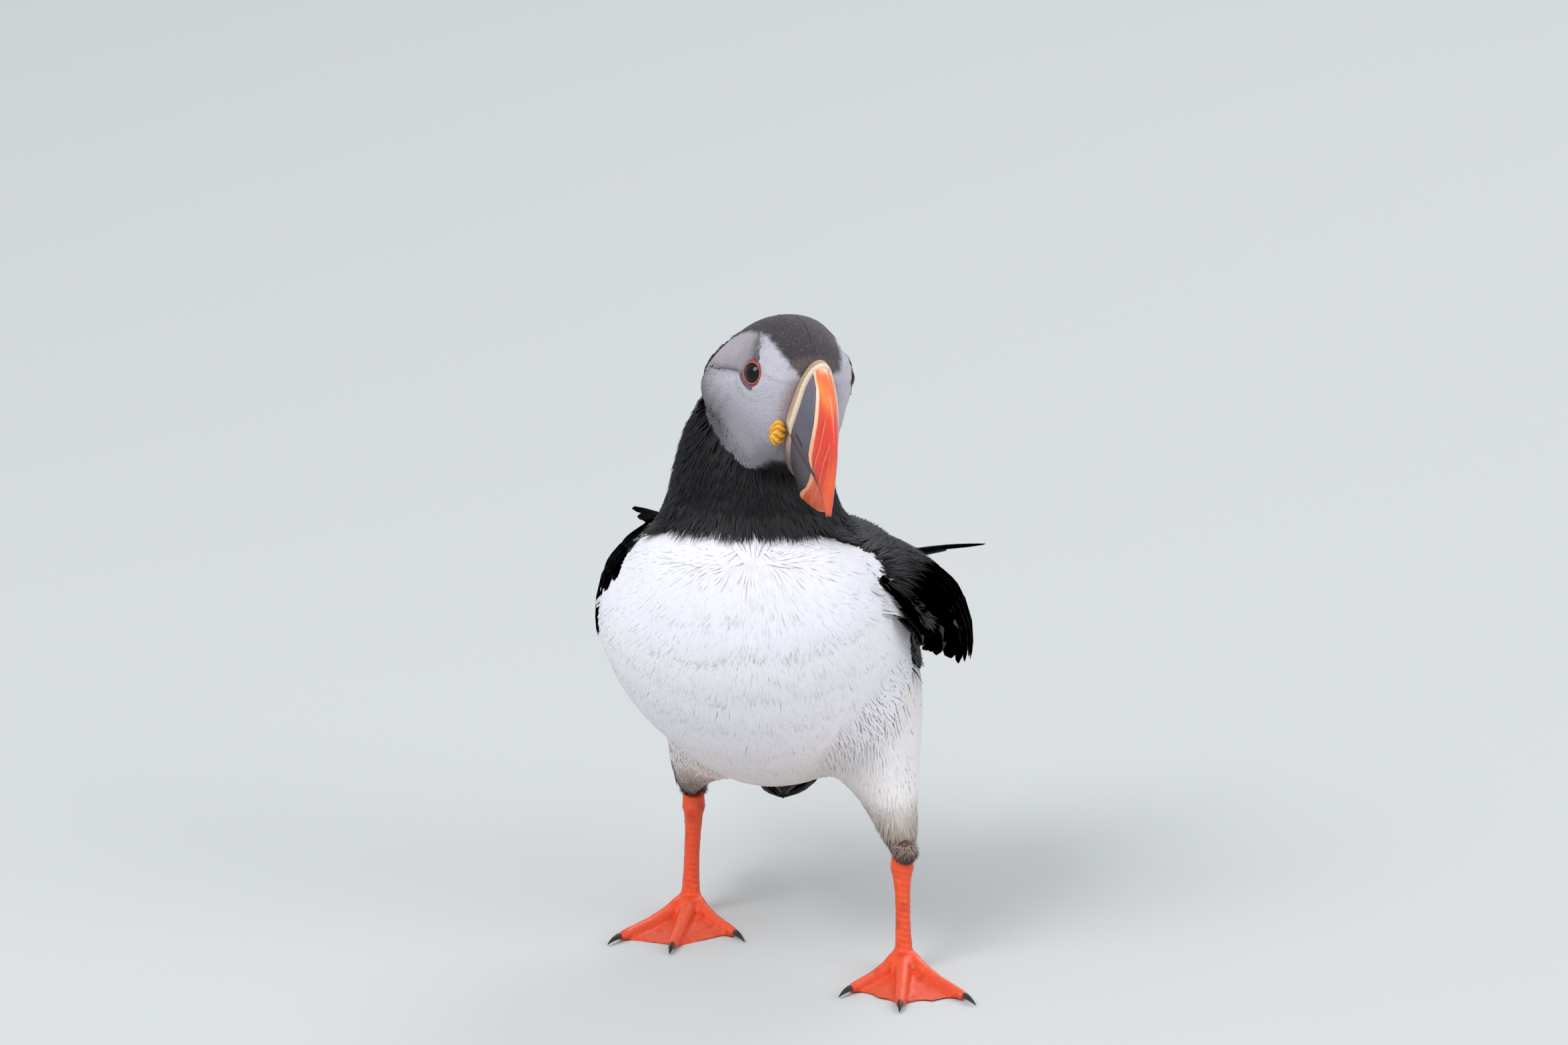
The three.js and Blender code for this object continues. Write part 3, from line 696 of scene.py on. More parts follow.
def make_body_surface():
    """The flesh nodes wrapped as one, seams smoothed, sunk by the coat's depth; and whose is each point."""
    points, triangles, owner = node_arrays(BODY)
    cad = BVHTree.FromPolygons(points.tolist(), triangles.tolist())
    extra_points, extra_faces, start = [points], [triangles], len(points)
    for side in SIDES:
        p, t = ball_arrays(from_head(EYE_PLACE * (side, 1, 1)), EYE_RADIUS + LID_GAP, start)
        start += len(p)
        extra_points.append(p)
        extra_faces.append(t)
    surface = Surface(*remeshed(np.concatenate(extra_points), np.concatenate(extra_faces), SKIN_VOXEL))
    label = owner[nearest(cad, surface.points)[2]]
    head, tail, thighs = label == ON_HEAD, label == ON_TAIL, label >= ON_THIGHS
    surface.relax(24, np.where(tail, 0.25, 0.5))
    a, b = surface.edges.T
    meet = label[a] != label[b]
    seam = np.zeros(len(surface.points))
    seam[a[meet]] = seam[b[meet]] = 1
    seam = np.clip(surface.diffuse(seam, 50) * 7, 0, 1)
    surface.relax(110, seam * np.where(head, 0.2, 0.5))
    depth = np.array([COAT_DEPTH[n] for n in BODY])[label]
    depth = np.where(thighs, line(surface.points[:, 2], (34, 0.4), (52, 2.2)), depth)
    surface.points -= surface.normals() * surface.diffuse(depth, 12)[:, None]
    return surface, label


skin, skin_label = make_body_surface()


def path_distance(x, y, knots):
    """Distance in the plane from points to a path, and how far along the path the nearest place is."""
    best, where = np.full(len(x), 1e9), np.zeros(len(x))
    spans = len(knots) - 1
    for k in range(spans):
        (ax, ay), (bx, by) = knots[k], knots[k + 1]
        length = (bx - ax) ** 2 + (by - ay) ** 2
        t = np.clip(((x - ax) * (bx - ax) + (y - ay) * (by - ay)) / length, 0, 1)
        distance = np.hypot(x - ax - t * (bx - ax), y - ay - t * (by - ay))
        closer = distance < best
        best = np.where(closer, distance, best)
        where = np.where(closer, (k + t) / spans, where)
    return best, where


CREASE = [(4.4, 1.0), (0.7, -0.3), (-4.4, -2.0), (-8.7, -3.7), (-13, -4.8)]
# Radii round the eye: its opening, the pale rim, the raised lid, and how far its seat reaches.
OPENING, RIM, LID_RING, SEAT = 2.85, 3.2, 3.7, 8.5

# Outer edge of the bare red skin round the eye: degrees round from ahead, and radius.
BARE_EDGE = [(14, 3.55), (40, 3.7), (66, 3.9), (82, 4.0), (112, 4.0), (123, 4.3), (134, 3.7), (157, 3.4),
             (173, 3.4), (190, 3.7), (201, 4.0), (212, 4.6), (228, 4.0), (254, 3.65), (284, 3.6),
             (306, 3.7), (327, 3.8), (345, 3.6)]
UPPER_PLATE = [(-0.6, 3.7), (-2.4, 3.6), (-2.8, 4.2), (-2.9, 5.2), (-2.8, 6.7), (-2.4, 7.6), (-1.1, 6.4),
               (0.4, 4.9), (0.9, 3.9)]
LOWER_PLATE = [(-4.7, -2.4), (-4.2, -3.2), (-2.8, -4.0), (-1.3, -4.5), (0.6, -4.65), (2.2, -4.3),
               (2.9, -3.4), (2.2, -3.2), (0.8, -3.6), (-0.9, -3.65), (-2.4, -3.3), (-3.7, -2.5)]


def bare_radius(phi):
    """Radius of the bare skin round the eye at an angle from ahead."""
    knots = np.array(BARE_EDGE, float)
    angle = np.concatenate([knots[:, 0] - 360, knots[:, 0], knots[:, 0] + 360])
    return np.interp(np.degrees(phi) % 360, angle, np.tile(knots[:, 1], 3))


def rounded(knots, count):
    """A closed smooth outline through knots."""
    ring = np.array(knots, float)
    size = len(ring)
    at = np.arange(count) * size / count
    i, w = at.astype(int), (at % 1)[:, None]
    return between(*(ring[(i + k) % size] for k in (-1, 0, 1, 2)), w)


def inside(x, y, ring):
    """Whether places in the plane are inside a closed outline."""
    crossings = np.zeros(len(x), int)
    for (ax, ay), (bx, by) in zip(ring, np.roll(ring, -1, axis=0)):
        spans = (ay > y) != (by > y)
        crossings += spans & (x < (bx - ax) * (y - ay) / ((by - ay) or 1e-9) + ax)
    return crossings % 2 == 1


def shape_head(points, here):
    """Lids, the crease behind the eye, the fold over the dome and the cheek, pressed into the head's skin."""
    local = to_head(points[here])
    for side in SIDES:
        same = local[:, 0] * side > 3
        f, u = side_on(local)
        rise = u - crease_line(f)
        distance, along = path_distance(f, u, CREASE)
        push = -1.25 * bell(distance, 0.7) * smooth(0, 0.12, along)
        push += 0.75 * smooth(-0.2, 1.6, rise) * smooth(3.8, 1.0, rise) * smooth(-13, -8, f) * smooth(6, 3, f)
        push += 1.3 * smooth(4, 10, f) * smooth(-5, 4, u) * smooth(15, 9, u) * smooth(20.5, 17, f)
        push += 0.9 * smooth(-0.8, -5, rise) * smooth(-21, -13, u) * smooth(2, -8, f)
        distance, along = path_distance(f, u, FOLD)
        push -= 0.8 * bell(distance, 0.75) * smooth(1.0, 0.6, along)
        above = u - fold_line(f)
        push += 0.4 * smooth(0.3, 1.2, above) * smooth(3.5, 1.2, above) * smooth(-6, 0, f)
        out = eye_frame(side)[3]
        x, y, height = eye_coordinates(local, side)
        rho = np.hypot(x, y)
        front = same & (height > -1)
        local += np.where(same & (rho > OPENING), push, 0)[:, None] * np.array([side, 0, 0])
        x, y, height = eye_coordinates(local, side)
        raised = 0.5 * bell(rho - LID_RING, 1.0)
        pit = np.sqrt(np.maximum(EYE_RADIUS ** 2 - rho ** 2, 0)) - 0.7
        crown = math.sqrt(EYE_RADIUS ** 2 - OPENING ** 2)
        brim = crown + 0.05 + 0.32 * np.maximum(rho - RIM, 0)
        seat = smooth(SEAT, 4.6, rho)
        level = height + raised
        level -= np.maximum(level - brim, 0) * seat
        level += np.maximum(brim - 0.9 - level, 0) * seat * 0.7
        level -= 0.7 * smooth(4.1, 3.4, rho)
        wanted = np.where(rho < OPENING, pit, level)
        local += np.where(front & (rho < SEAT), wanted - height, 0)[:, None] * out
    points[here] = from_head(local)


def subdivided(surface, labels, chosen):
    """Splits the triangles whose corners are all chosen into four, keeping the mesh whole."""
    a, b = surface.edges.T
    split = chosen[a] & chosen[b]
    ids = -np.ones(len(surface.edges), int)
    ids[split] = len(surface.points) + np.arange(split.sum())
    points = np.concatenate([surface.points, (surface.points[a[split]] + surface.points[b[split]]) / 2])
    labels = np.concatenate([labels, labels[a[split]]])
    key = surface.edges[:, 0] * (len(surface.points) + 1) + surface.edges[:, 1]
    order = np.argsort(key)

    def middle_of(p, q):
        low, high = np.minimum(p, q), np.maximum(p, q)
        return ids[order[np.searchsorted(key[order], low * (len(surface.points) + 1) + high)]]

    t = surface.triangles
    m = np.stack([middle_of(t[:, k], t[:, (k + 1) % 3]) for k in range(3)], 1)
    count = (m >= 0).sum(1)
    full, fm = t[count == 3], m[count == 3]
    out = [t[count == 0], fm]
    for k in range(3):
        out.append(np.stack([full[:, k], fm[:, k], fm[:, k - 1]], 1))
        one = (count == 1) & (m[:, k] >= 0)
        p, q, r = t[one, k], t[one, (k + 1) % 3], t[one, (k + 2) % 3]
        out += [np.stack([p, m[one, k], r], 1), np.stack([m[one, k], q, r], 1)]
    return Surface(points, np.concatenate(out).astype(np.int32)), labels


def near_face(points):
    """Whether places are on the part of the head that is cut finer."""
    f, u = side_on(to_head(points))
    return (f > -13) & (u > -24) & (u < 15) & (f < 21)


skin, skin_label = subdivided(skin, skin_label, near_face(skin.points))
shape_head(skin.points, (skin_label == ON_HEAD) & near_face(skin.points))
shell_points, shell_faces, shell_label = [skin.points], [skin.triangles], [skin_label]
for number, (p, t) in enumerate(wing_shells()):
    shell_faces.append(t + sum(len(q) for q in shell_points))
    shell_points.append(p)
    shell_label.append(np.full(len(p), ON_WINGS + number // 2))
skin = Surface(np.concatenate(shell_points), np.concatenate(shell_faces).astype(np.int32))
skin_label = np.concatenate(shell_label)


def leg_surface():
    """Finely wrapped copies of the legs' solids, with ring scales down the shank and toes."""
    points, triangles, owner = node_arrays(LIMBS)
    cad = BVHTree.FromPolygons(points.tolist(), triangles.tolist())
    knobs, faces, hocks = [points], [triangles], []
    for index in (0, 1):
        shank = points[np.unique(triangles[owner == index])]
        top = shank[:, 2].max()
        centre = shank[shank[:, 2] > top - 0.6].mean(0) + (0, 0.2, 0.6)
        hocks.append(centre)
        p, t = ball_arrays(centre, 2.9, sum(len(k) for k in knobs))
        knobs.append(centre + (p - centre) * (0.95, 1.05, 1.2))
        faces.append(t)
    surface = Surface(*remeshed(np.concatenate(knobs), np.concatenate(faces), LEG_VOXEL))
    surface.relax(5, 0.5)
    label = owner[nearest(cad, surface.points)[2]] + len(FLESH)
    normal, p = surface.normals(), surface.points
    shank = smooth(6.5, 9, p[:, 2])
    front = smooth(0.1, 0.8, -normal[:, 1])
    scute = np.abs(np.sin(p[:, 2] * math.pi / 1.75 + 0.4 * p[:, 0]))
    grains = noise_a(p, 1.5) * 0.5 + noise_b(p, 0.9) * 0.5
    relief = shank * (front * (scute ** 0.4 - 0.8) * 0.32 + (1 - front) * grains * 0.12)
    relief += (1 - shank) * grains * 0.07 * smooth(0.3, 1.2, p[:, 2])
    surface.points = p + normal * relief[:, None]
    surface.points[:, 2] = np.maximum(surface.points[:, 2], 0.0)
    return surface, label, np.array(hocks)


legs, legs_label, HOCKS = leg_surface()
skin_normal = skin.normals()
skin_tree = skin.tree()
skin_colour = markings(skin.points, skin_label)
whole_points = np.concatenate([skin.points, legs.points])
whole_faces = np.concatenate([skin.triangles, legs.triangles + len(skin.points)])
# The skin is painted a little darker than the coat's colour, as painted shade under the feathers.
whole_tint = np.concatenate([skin_colour * 0.93, markings(legs.points, legs_label)])
skin_piece = build("skin", whole_points, whole_faces, SKIN, whole_tint)
skin_piece.data.materials.append(LEG)
which = np.zeros(len(whole_faces), np.int32)
which[len(skin.triangles):] = 1
skin_piece.data.polygons.foreach_set("material_index", which)
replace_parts(skin_piece, *FLESH, *LIMBS)


# ------------------------------------------------------------------ the map for the coat

MAP_SIZE = 14000                       # triangles of the copy
PATCH = 0.003                          # width of one feather's patch on the map


def coarse_map():
    """A smart unwrap of a plain copy of the skin, from which each tuft takes its place."""
    mesh = bpy.data.meshes.new("map")
    mesh.from_pydata(skin.points.tolist(), [], skin.triangles.tolist())
    body = placed("map", mesh)
    bpy.context.view_layer.objects.active = body
    body.select_set(True)
    modifier = body.modifiers.new("fewer", "DECIMATE")
    modifier.ratio = MAP_SIZE / len(skin.triangles)
    bpy.ops.object.modifier_apply(modifier="fewer")
    bpy.ops.object.mode_set(mode="EDIT")
    bpy.ops.mesh.select_all(action="SELECT")
    bpy.ops.uv.smart_project(angle_limit=math.radians(66), island_margin=0.004)
    bpy.ops.object.mode_set(mode="OBJECT")
    mesh = body.data
    co, tri = mesh_arrays(mesh)
    loops = np.array([t.loops for t in mesh.loop_triangles])
    uv = np.empty(len(mesh.loops) * 2, np.float32)
    mesh.uv_layers.active.data.foreach_get("uv", uv)
    result = co, tri, uv.reshape(-1, 2)[loops], BVHTree.FromPolygons(co.tolist(), tri.tolist())
    bpy.data.objects.remove(body)
    bpy.data.meshes.remove(mesh)
    return result


MAP_POINTS, MAP_TRIANGLES, MAP_UV, MAP_TREE = coarse_map()


def map_place(points):
    """Where body-frame points lie on the unwrapped skin."""
    place, _, index = nearest(MAP_TREE, points)
    a, b, c = (MAP_POINTS[MAP_TRIANGLES[index, k]] for k in range(3))
    v0, v1, v2 = b - a, c - a, place - a
    d00, d01, d11 = (v0 * v0).sum(1), (v0 * v1).sum(1), (v1 * v1).sum(1)
    d20, d21 = (v2 * v0).sum(1), (v2 * v1).sum(1)
    down = np.maximum(d00 * d11 - d01 * d01, 1e-9)
    v = (d11 * d20 - d01 * d21) / down
    w = (d00 * d21 - d01 * d20) / down
    uv = MAP_UV[index]
    return uv[:, 0] * (1 - v - w)[:, None] + uv[:, 1] * v[:, None] + uv[:, 2] * w[:, None]


# ------------------------------------------------------------------ lie of the coat

def lie(points, normals, owner):
    """Unit direction in which the coat runs along the surface."""
    way = np.tile(np.array([0, 1.0, -0.75]), (len(points), 1))
    way[:, 0] = (points[:, 0] - MIDLINE - 2) * 0.3 / 40
    back = smooth(-5, 12, dorsal(points))[:, None]
    way = way * (1 - back) + np.array([0, 0.8, -0.62]) * back
    for index, name in enumerate(FLESH):
        here = owner == index
        if name == "head":
            local = to_head(points[here])
            f, l, u = -local[:, 1], local[:, 0], local[:, 2]
            low_rear = smooth(4, -8, f) * smooth(2, -10, u)
            fall = 0.12 + 1.6 * low_rear + 1.2 * smooth(-8, -20, f)
            side = np.where(l > 0, 1.0, -1.0) * 0.25 * smooth(20, 10, f)
            way[here] = np.stack([side, np.ones_like(f), -fall], 1) @ HEAD.T
        elif name == "neck":
            way[here] = (0, 0.22, -1)
        elif name.startswith("thigh"):
            way[here] = (0, 0.25, -1)
    way -= normals * (way * normals).sum(1)[:, None]
    return unit(way)


def sample_skin(count, wanted):
    """Roots spread over the skin, as densely as wanted(owner, points, normals) asks from 0 up."""
    tri = skin.triangles
    centre = skin.points[tri].mean(1)
    owner = skin_label[tri[:, 0]]
    weight = skin.areas * wanted(owner, centre, skin_normal[tri[:, 0]])
    edge = np.cumsum(weight)
    # stratified along the running total, so that roots are spread evenly
    pick = np.searchsorted(edge, (np.arange(count) + rng.random(count)) / count * edge[-1])
    pick = np.minimum(pick, len(tri) - 1)
    a, b = rng.random(count), rng.random(count)
    flip = a + b > 1
    a, b = np.where(flip, 1 - a, a), np.where(flip, 1 - b, b)
    share = np.stack([1 - a - b, a, b], 1)
    points = (skin.points[tri[pick]] * share[..., None]).sum(1)
    normals = unit((skin_normal[tri[pick]] * share[..., None]).sum(1))
    return points, normals, owner[pick]


def turned(way, normal, angle):
    """Directions turned about their normals."""
    return way * np.cos(angle)[:, None] + np.cross(normal, way) * np.sin(angle)[:, None]


PIECE_LIMIT = 195000                   # triangles in one object of the coat


def pieces(name, mat, size, points, faces, colours, uv, shading):
    """Feathers of size points each made into objects small enough to keep apart."""
    count = len(points) // size
    each = len(faces) // count
    most = PIECE_LIMIT // each
    for part, start in enumerate(range(0, count, most)):
        a, b = start, min(start + most, count)
        label = name if count <= most else f"{name}_{part + 1}"
        span = slice(size * a, size * b)
        piece = build(label, points[span], faces[each * a:each * b] - size * a, mat, colours[span],
                      uv[faces[each * a:each * b].ravel()], shading[span])


TUFT_FACES = np.array([
    (0, 1, 4), (0, 4, 3), (1, 2, 5), (1, 5, 4), (2, 0, 3), (2, 3, 5),
    (3, 4, 6), (4, 5, 6), (5, 3, 6), (0, 2, 1),
])
TUFT_MAP = np.array([(-1, -1), (0, -1), (1, -1), (-1, 0.1), (0, 0.1), (1, 0.1), (0, 1)]) * PATCH / 2


def tufts(name, mat, roots, normals, ways, length, width, lift, base, tip, sink=0.35, belly=0.3,
          bend=0.35, hang=0, droop=1.0):
    """Closed three-sided spikes: a root, a middle and a tip, laid along the skin and bent over it.

    hang is 1 for a tuft whose tip hangs free in its own direction, 0 for one that follows the skin.
    droop is the share of its lift that the tip keeps.
    """
    count = len(roots)
    length, width, lift, hang = (np.broadcast_to(v, count).astype(float) for v in (length, width, lift, hang))
    side = unit(np.cross(ways, normals))
    end = roots + ways * length[:, None]
    place, far_normal, _ = nearest(skin_tree, end)
    free = hang[:, None]
    place = place * (1 - free) + end * free
    far_normal = unit(far_normal * (1 - free) + normals * free)
    tip_point = place + far_normal * lift[:, None] * droop
    mid_normal = unit(normals + far_normal)
    sagitta = np.linalg.norm(np.cross(normals, far_normal), axis=1) * length / 8
    middle = (roots + place) / 2 + mid_normal * (sagitta + lift * 0.62)[:, None]
    half = width[:, None] / 2
    low = roots - normals * sink
    points = np.stack([
        low - side * half * 0.7, low + normals * half * 0.8, low + side * half * 0.7,
        middle - side * half - mid_normal * half * belly * 0.3, middle + mid_normal * half * belly,
        middle + side * half - mid_normal * half * belly * 0.3,
        tip_point,
    ], 1).reshape(-1, 3)
    shading = unit(np.stack([
        normals - side * bend, normals, normals + side * bend,
        mid_normal - side * bend, mid_normal, mid_normal + side * bend,
        far_normal + ways * 0.2,
    ], 1).reshape(-1, 3))
    faces = (TUFT_FACES[None] + 7 * np.arange(count)[:, None, None]).reshape(-1, 3)
    # Colour runs from base at the root to tip at the end. Callers give a darker base, as painted shade where
    # each tuft goes in under the others.
    share = np.array([0, 0.1, 0, 0.55, 0.7, 0.55, 1.0])
    colours = mix(base[:, None], tip[:, None], share[None]).reshape(-1, 3)
    uv = (map_place(roots)[:, None] + TUFT_MAP[None]).reshape(-1, 2)
    pieces(name, mat, 7, points, faces, colours, uv, shading)


def vane_faces(rows, ring):
    """Faces of one closed feather of rows rings."""
    quads = grid_faces(rows, ring, closed=True)
    fan = fan_faces(ring)
    return np.concatenate([quads[:, [0, 2, 1]], quads[:, [0, 3, 2]], fan, fan[:, ::-1] + (rows - 1) * ring])


CAMBER, VANE_THICK = 0.16, 0.16        # rise of a feather's shaft per half width, and thickness in mm
SHAFT_LIGHT, UNDER_LIGHT = 1.3, 0.85   # how much lighter the shaft is, and the underside


def vanes(name, slot, mat, axis, ups, half, base, tip, edge=1.15, fine=False):
    """Closed thin feathers along axis (n, rows, 3), arched over their shafts towards ups.

    half is each row's half width. edge says how much lighter the rims are.
    """
    count, rows = half.shape
    along = unit(np.gradient(axis, axis=1))
    side = unit(np.cross(along, ups))
    ups = np.cross(side, along)
    out = np.array([-1, -0.5, 0, 0.5, 1, 0]) if fine else np.array([-1, 0, 1, 0])
    rise = np.array([0, 0.75, 1, 0.75, 0, 0.55]) if fine else np.array([0, 1, 0, 0.45])
    body = np.array([0, 0.5, 0.6, 0.5, 0, -0.5]) if fine else np.array([0, 0.6, 0, -0.5])
    face = np.array([0.75, 1, 1, 1, 0.75, -1]) if fine else np.array([0.75, 1, 0.75, -1])
    light = [edge, 1, SHAFT_LIGHT, 1, edge, UNDER_LIGHT] if fine else [edge, SHAFT_LIGHT, edge, UNDER_LIGHT]
    light = np.array(light)
    ring = len(out)
    span = half[..., None, None]
    height = CAMBER * span * rise[:, None] + VANE_THICK * body[:, None]
    points = axis[:, :, None] + side[:, :, None] * span * out[:, None] + ups[:, :, None] * height
    shading = unit(ups[:, :, None] * face[:, None] + side[:, :, None] * out[:, None] * 0.45).reshape(-1, 3)
    faces = (vane_faces(rows, ring)[None] + rows * ring * np.arange(count)[:, None, None]).reshape(-1, 3)
    share = (np.arange(rows) / (rows - 1))[None, :, None]
    tone = mix(base[:, None], tip[:, None], share[..., 0])
    colours = (tone[:, :, None] * light[:, None]).reshape(-1, 3)
    patch = np.stack(np.broadcast_arrays(out * PATCH / 2, (share[0] - 0.5) * PATCH), -1)
    uv = (map_place(axis[:, 0])[:, None, None] + patch[None]).reshape(-1, 2)
    pieces(name, mat, rows * ring, points.reshape(-1, 3), faces, np.clip(colours, 0, 1), uv, shading)


def vane_shape(shares, blunt=0.25):
    """Half width along a feather: narrow at the root, full in the middle, rounded at the tip."""
    grow = 0.5 + 0.5 * smooth(0, 0.35, shares)
    past = np.clip((shares - 1 + blunt) / blunt, 0, 1)
    return grow * np.maximum(np.sqrt(np.maximum(1 - past ** 2, 0)), 0.12)


def laid(roots, normals, ways, length, shares, lift, sink=0.3):
    """Axes and normals of feathers laid along the skin, rising from sink under it to lift at their tips."""
    axis, ups = [], []
    for share in shares:
        place, normal, _ = nearest(skin_tree, roots + ways * (length * share)[:, None])
        height = -sink * (1 - share) + lift * share
        axis.append(place + normal * height[:, None])
        ups.append(unit(normal + normals))
    return np.stack(axis, 1), np.stack(ups, 1)


def speckled(colour, low, high):
    """Each tuft's colour made a little lighter or darker than the next."""
    return colour * rng.uniform(low, high, len(colour))[:, None]


# ------------------------------------------------------------------ breast, neck, face

BREAST_TUFTS, NECK_TUFTS, FACE_TUFTS, BACK_FEATHERS, HOCK_TUFTS = 52000, 19500, 37000, 2300, 900


def breast_wanted(owner, points, normals):
    """How thickly the pale feathers stand."""
    trunk = (owner == ON_TRUNK) & (dark_share(points) < 0.5) & (points[:, 2] < collar_line(points[:, 0]) + 3)
    thigh = (owner >= ON_THIGHS) & (owner < ON_WINGS)
    tail = (owner == ON_TAIL) & (normals[:, 2] < -0.2) & (points[:, 1] < 66)
    return trunk * 1.0 + thigh * 1.3 + tail * 0.7


def breast():
    """The pale feathers of breast, belly, flanks and thighs."""
    p, n, o = sample_skin(BREAST_TUFTS, breast_wanted)
    stray = noise_a(p, 12.0) * 0.14 + noise_b(p, 4.0) * 0.06 + rng.normal(0, 0.07, len(p))
    way = turned(lie(p, n, o), n, stray)
    leg = (o >= ON_THIGHS) & (o < ON_WINGS)
    short = np.where(leg, line(p[:, 2], (36, 0.5), (56, 1.0)), 1.0)
    length = rng.uniform(8, 12, len(p)) * short
    width = rng.uniform(0.5, 0.9, len(p)) * np.sqrt(short)
    lift = (0.38 + 0.14 * noise_b(p, 6.0) + 0.05 * noise_c(p, 2.2) + rng.uniform(0, 0.16, len(p))) * short
    # Painted warm shade low on the belly, as on the skin. Each tuft's root is painted a little darker than
    # its tip, as painted shade under the tufts.
    colour = np.where(leg[:, None], markings(p, o), mix(WHITE, CREAM, smooth(80, 46, p[:, 2]) * 0.9))
    base = speckled(colour * 0.95, 0.98, 1.01)
    tip = speckled(colour, 0.98, 1.02)
    hang = np.where(leg & (p[:, 2] < 47), 0.6, 0)
    tufts("breast", PLUMAGE, p, n, way, length, width, lift, base, tip, sink=0.2, belly=0.2,
          bend=0.22, hang=hang, droop=0.6)


breast()


def neck_wanted(owner, points, normals):
    """How thickly the loose black feathers stand."""
    local = to_head(points)
    f, u = side_on(local)
    nape = (owner == ON_HEAD) & ((f < rear_line(u) + 0.5) | (u < chin_line(f) + 0.8)) & (f < 10)
    cheek = (face_share(f, u) > 0.5) & (owner == ON_NECK)
    collar = ((owner == ON_TRUNK) | (owner == ON_NECK)) & ~cheek
    collar &= points[:, 2] > collar_line(points[:, 0]) + 2.5
    shoulder = (owner == ON_TRUNK) & (dark_share(points) > 0.5) & (points[:, 1] < -2)
    return nape * 0.9 + np.maximum(collar * 1.0, shoulder * 0.9)


def neck():
    """Loose, ruffled black feathers, ending over the breast in hair-like tips."""
    p, n, o = sample_skin(NECK_TUFTS, neck_wanted)
    ruffle = noise_a(p, 11.0) * 0.5 + noise_b(p, 4.5) * 0.35
    way = turned(lie(p, n, o), n, ruffle * 0.45 + rng.normal(0, 0.12, len(p)))
    head = o == ON_HEAD
    collar = smooth(16, 4, p[:, 2] - collar_line(p[:, 0])) * ~head
    length = rng.uniform(5.5, 8.5, len(p)) * np.where(head, 0.7, 1.0) * (1 + 0.3 * collar)
    lift = np.where(head, 0.7, 1.9) * (1 + 0.4 * ruffle) + rng.uniform(-0.2, 0.6, len(p))
    lift *= 1 - 0.45 * smooth(0.2, 0.9, n[:, 1])
    dark = np.tile(BLACK, (len(p), 1))
    # Painted shade at each root, and painted glints lightening some of the tips.
    base = speckled(dark * 0.6, 0.8, 1.2)
    tip = speckled(mix(dark, srgb(58, 54, 62), smooth(0.3, 1.2, noise_c(p, 3.0)) * 0.6), 0.6, 1.3)
    width = rng.uniform(0.5, 0.9, len(p))
    tufts("neck_coat", DARK, p, n, way, length, width, lift, base, tip, bend=0.5)


neck()


def face_wanted(owner, points, normals):
    """How thickly the short feathers of face and cap stand."""
    local = to_head(points)
    f, u = side_on(local)
    front = (owner == ON_HEAD) & (f > rear_line(u) - 1.5) & (f < 20.4) & (u > chin_line(f) - 1)
    front |= (owner == ON_NECK) & (face_share(f, u) > 0.4)
    weight = front * (1 + 0.3 * smooth(-6, 6, f))
    for side in SIDES:
        x, y, height = eye_coordinates(local, side)
        rho, phi = np.hypot(x, y), np.arctan2(y, x)
        bare = rho < np.where(x > 0, np.maximum(bare_radius(phi), 3.95), bare_radius(phi) + 0.1)
        for plate in (UPPER_PLATE, LOWER_PLATE):
            bare |= inside(x, y, rounded(plate, 40))
        weight = weight * np.where((height > -2) & bare, 0, 1)
    return weight


def face():
    """The shortest feathers, which part round the eye."""
    p, n, o = sample_skin(FACE_TUFTS, face_wanted)
    local = to_head(p)
    f, u = side_on(local)
    way = turned(lie(p, n, o), n, noise_a(p, 6.0) * 0.16 + rng.normal(0, 0.11, len(p)))
    rear = smooth(2, -10, f)
    pale = face_share(f, u)
    long = 1.6 + 1.5 * rear + 0.9 * smooth(-10, -22, u) + 0.5 * smooth(5, 12, u)
    length = long * rng.uniform(0.8, 1.2, len(p)) * np.where(f > 16, 0.8, 1.0)
    for side in SIDES:
        x, y, height = eye_coordinates(local, side)
        close = smooth(6.2, 4.4, np.hypot(x, y)) * (height > -2) * (x > 1)
        length = length * (1 - 0.55 * close)
    lift = 0.1 + 0.3 * rear + 0.04 * noise_b(p, 2.5) + rng.uniform(0, 0.08, len(p))
    colour = markings(p, o)
    glint = smooth(0.1, 1.0, noise_c(p, 1.1)) * (1 - pale) * 0.4
    tip = speckled(mix(colour, srgb(128, 114, 118), glint), 0.96, 1.04)
    # Each root is painted a little darker than its tip, as painted shade under the tufts.
    base = speckled(colour * 0.96, 0.97, 1.02)
    tufts("face_coat", PLUMAGE, p, n, way, length, 0.32 + 0.16 * rear, lift, base, tip, sink=0.1,
          belly=0.14, bend=0.2, droop=0.45)


face()


# ------------------------------------------------------------------ back, wings, tail

def mantle():
    """Rounded contour feathers over the back and rump."""
    def wanted(owner, points, normals):
        back = (owner == ON_TRUNK) & (dark_share(points) > 0.45) & (points[:, 1] > -6)
        tail = (owner == ON_TAIL) & ((normals[:, 2] > -0.1) | (points[:, 1] > 60)) & (points[:, 1] < 70)
        return back * 1.0 + tail * 0.8

    p, n, o = sample_skin(BACK_FEATHERS, wanted)
    way = turned(lie(p, n, o), n, rng.normal(0, 0.12, len(p)))
    shares = np.array([0, 0.4, 0.72, 0.92, 1.0])
    length = rng.uniform(9, 11, len(p))
    axis, ups = laid(p, n, way, length, shares, rng.uniform(0.9, 1.5, len(p)))
    half = rng.uniform(2.5, 3.1, len(p))[:, None] * vane_shape(shares)
    base = speckled(np.tile(BLACK, (len(p), 1)) * 0.9, 0.8, 1.2)
    # Tips are painted a quarter lighter than the roots, as a painted sheen.
    vanes("mantle", "dark_plumage", DARK, axis, ups, half, base, base * 1.25)


mantle()


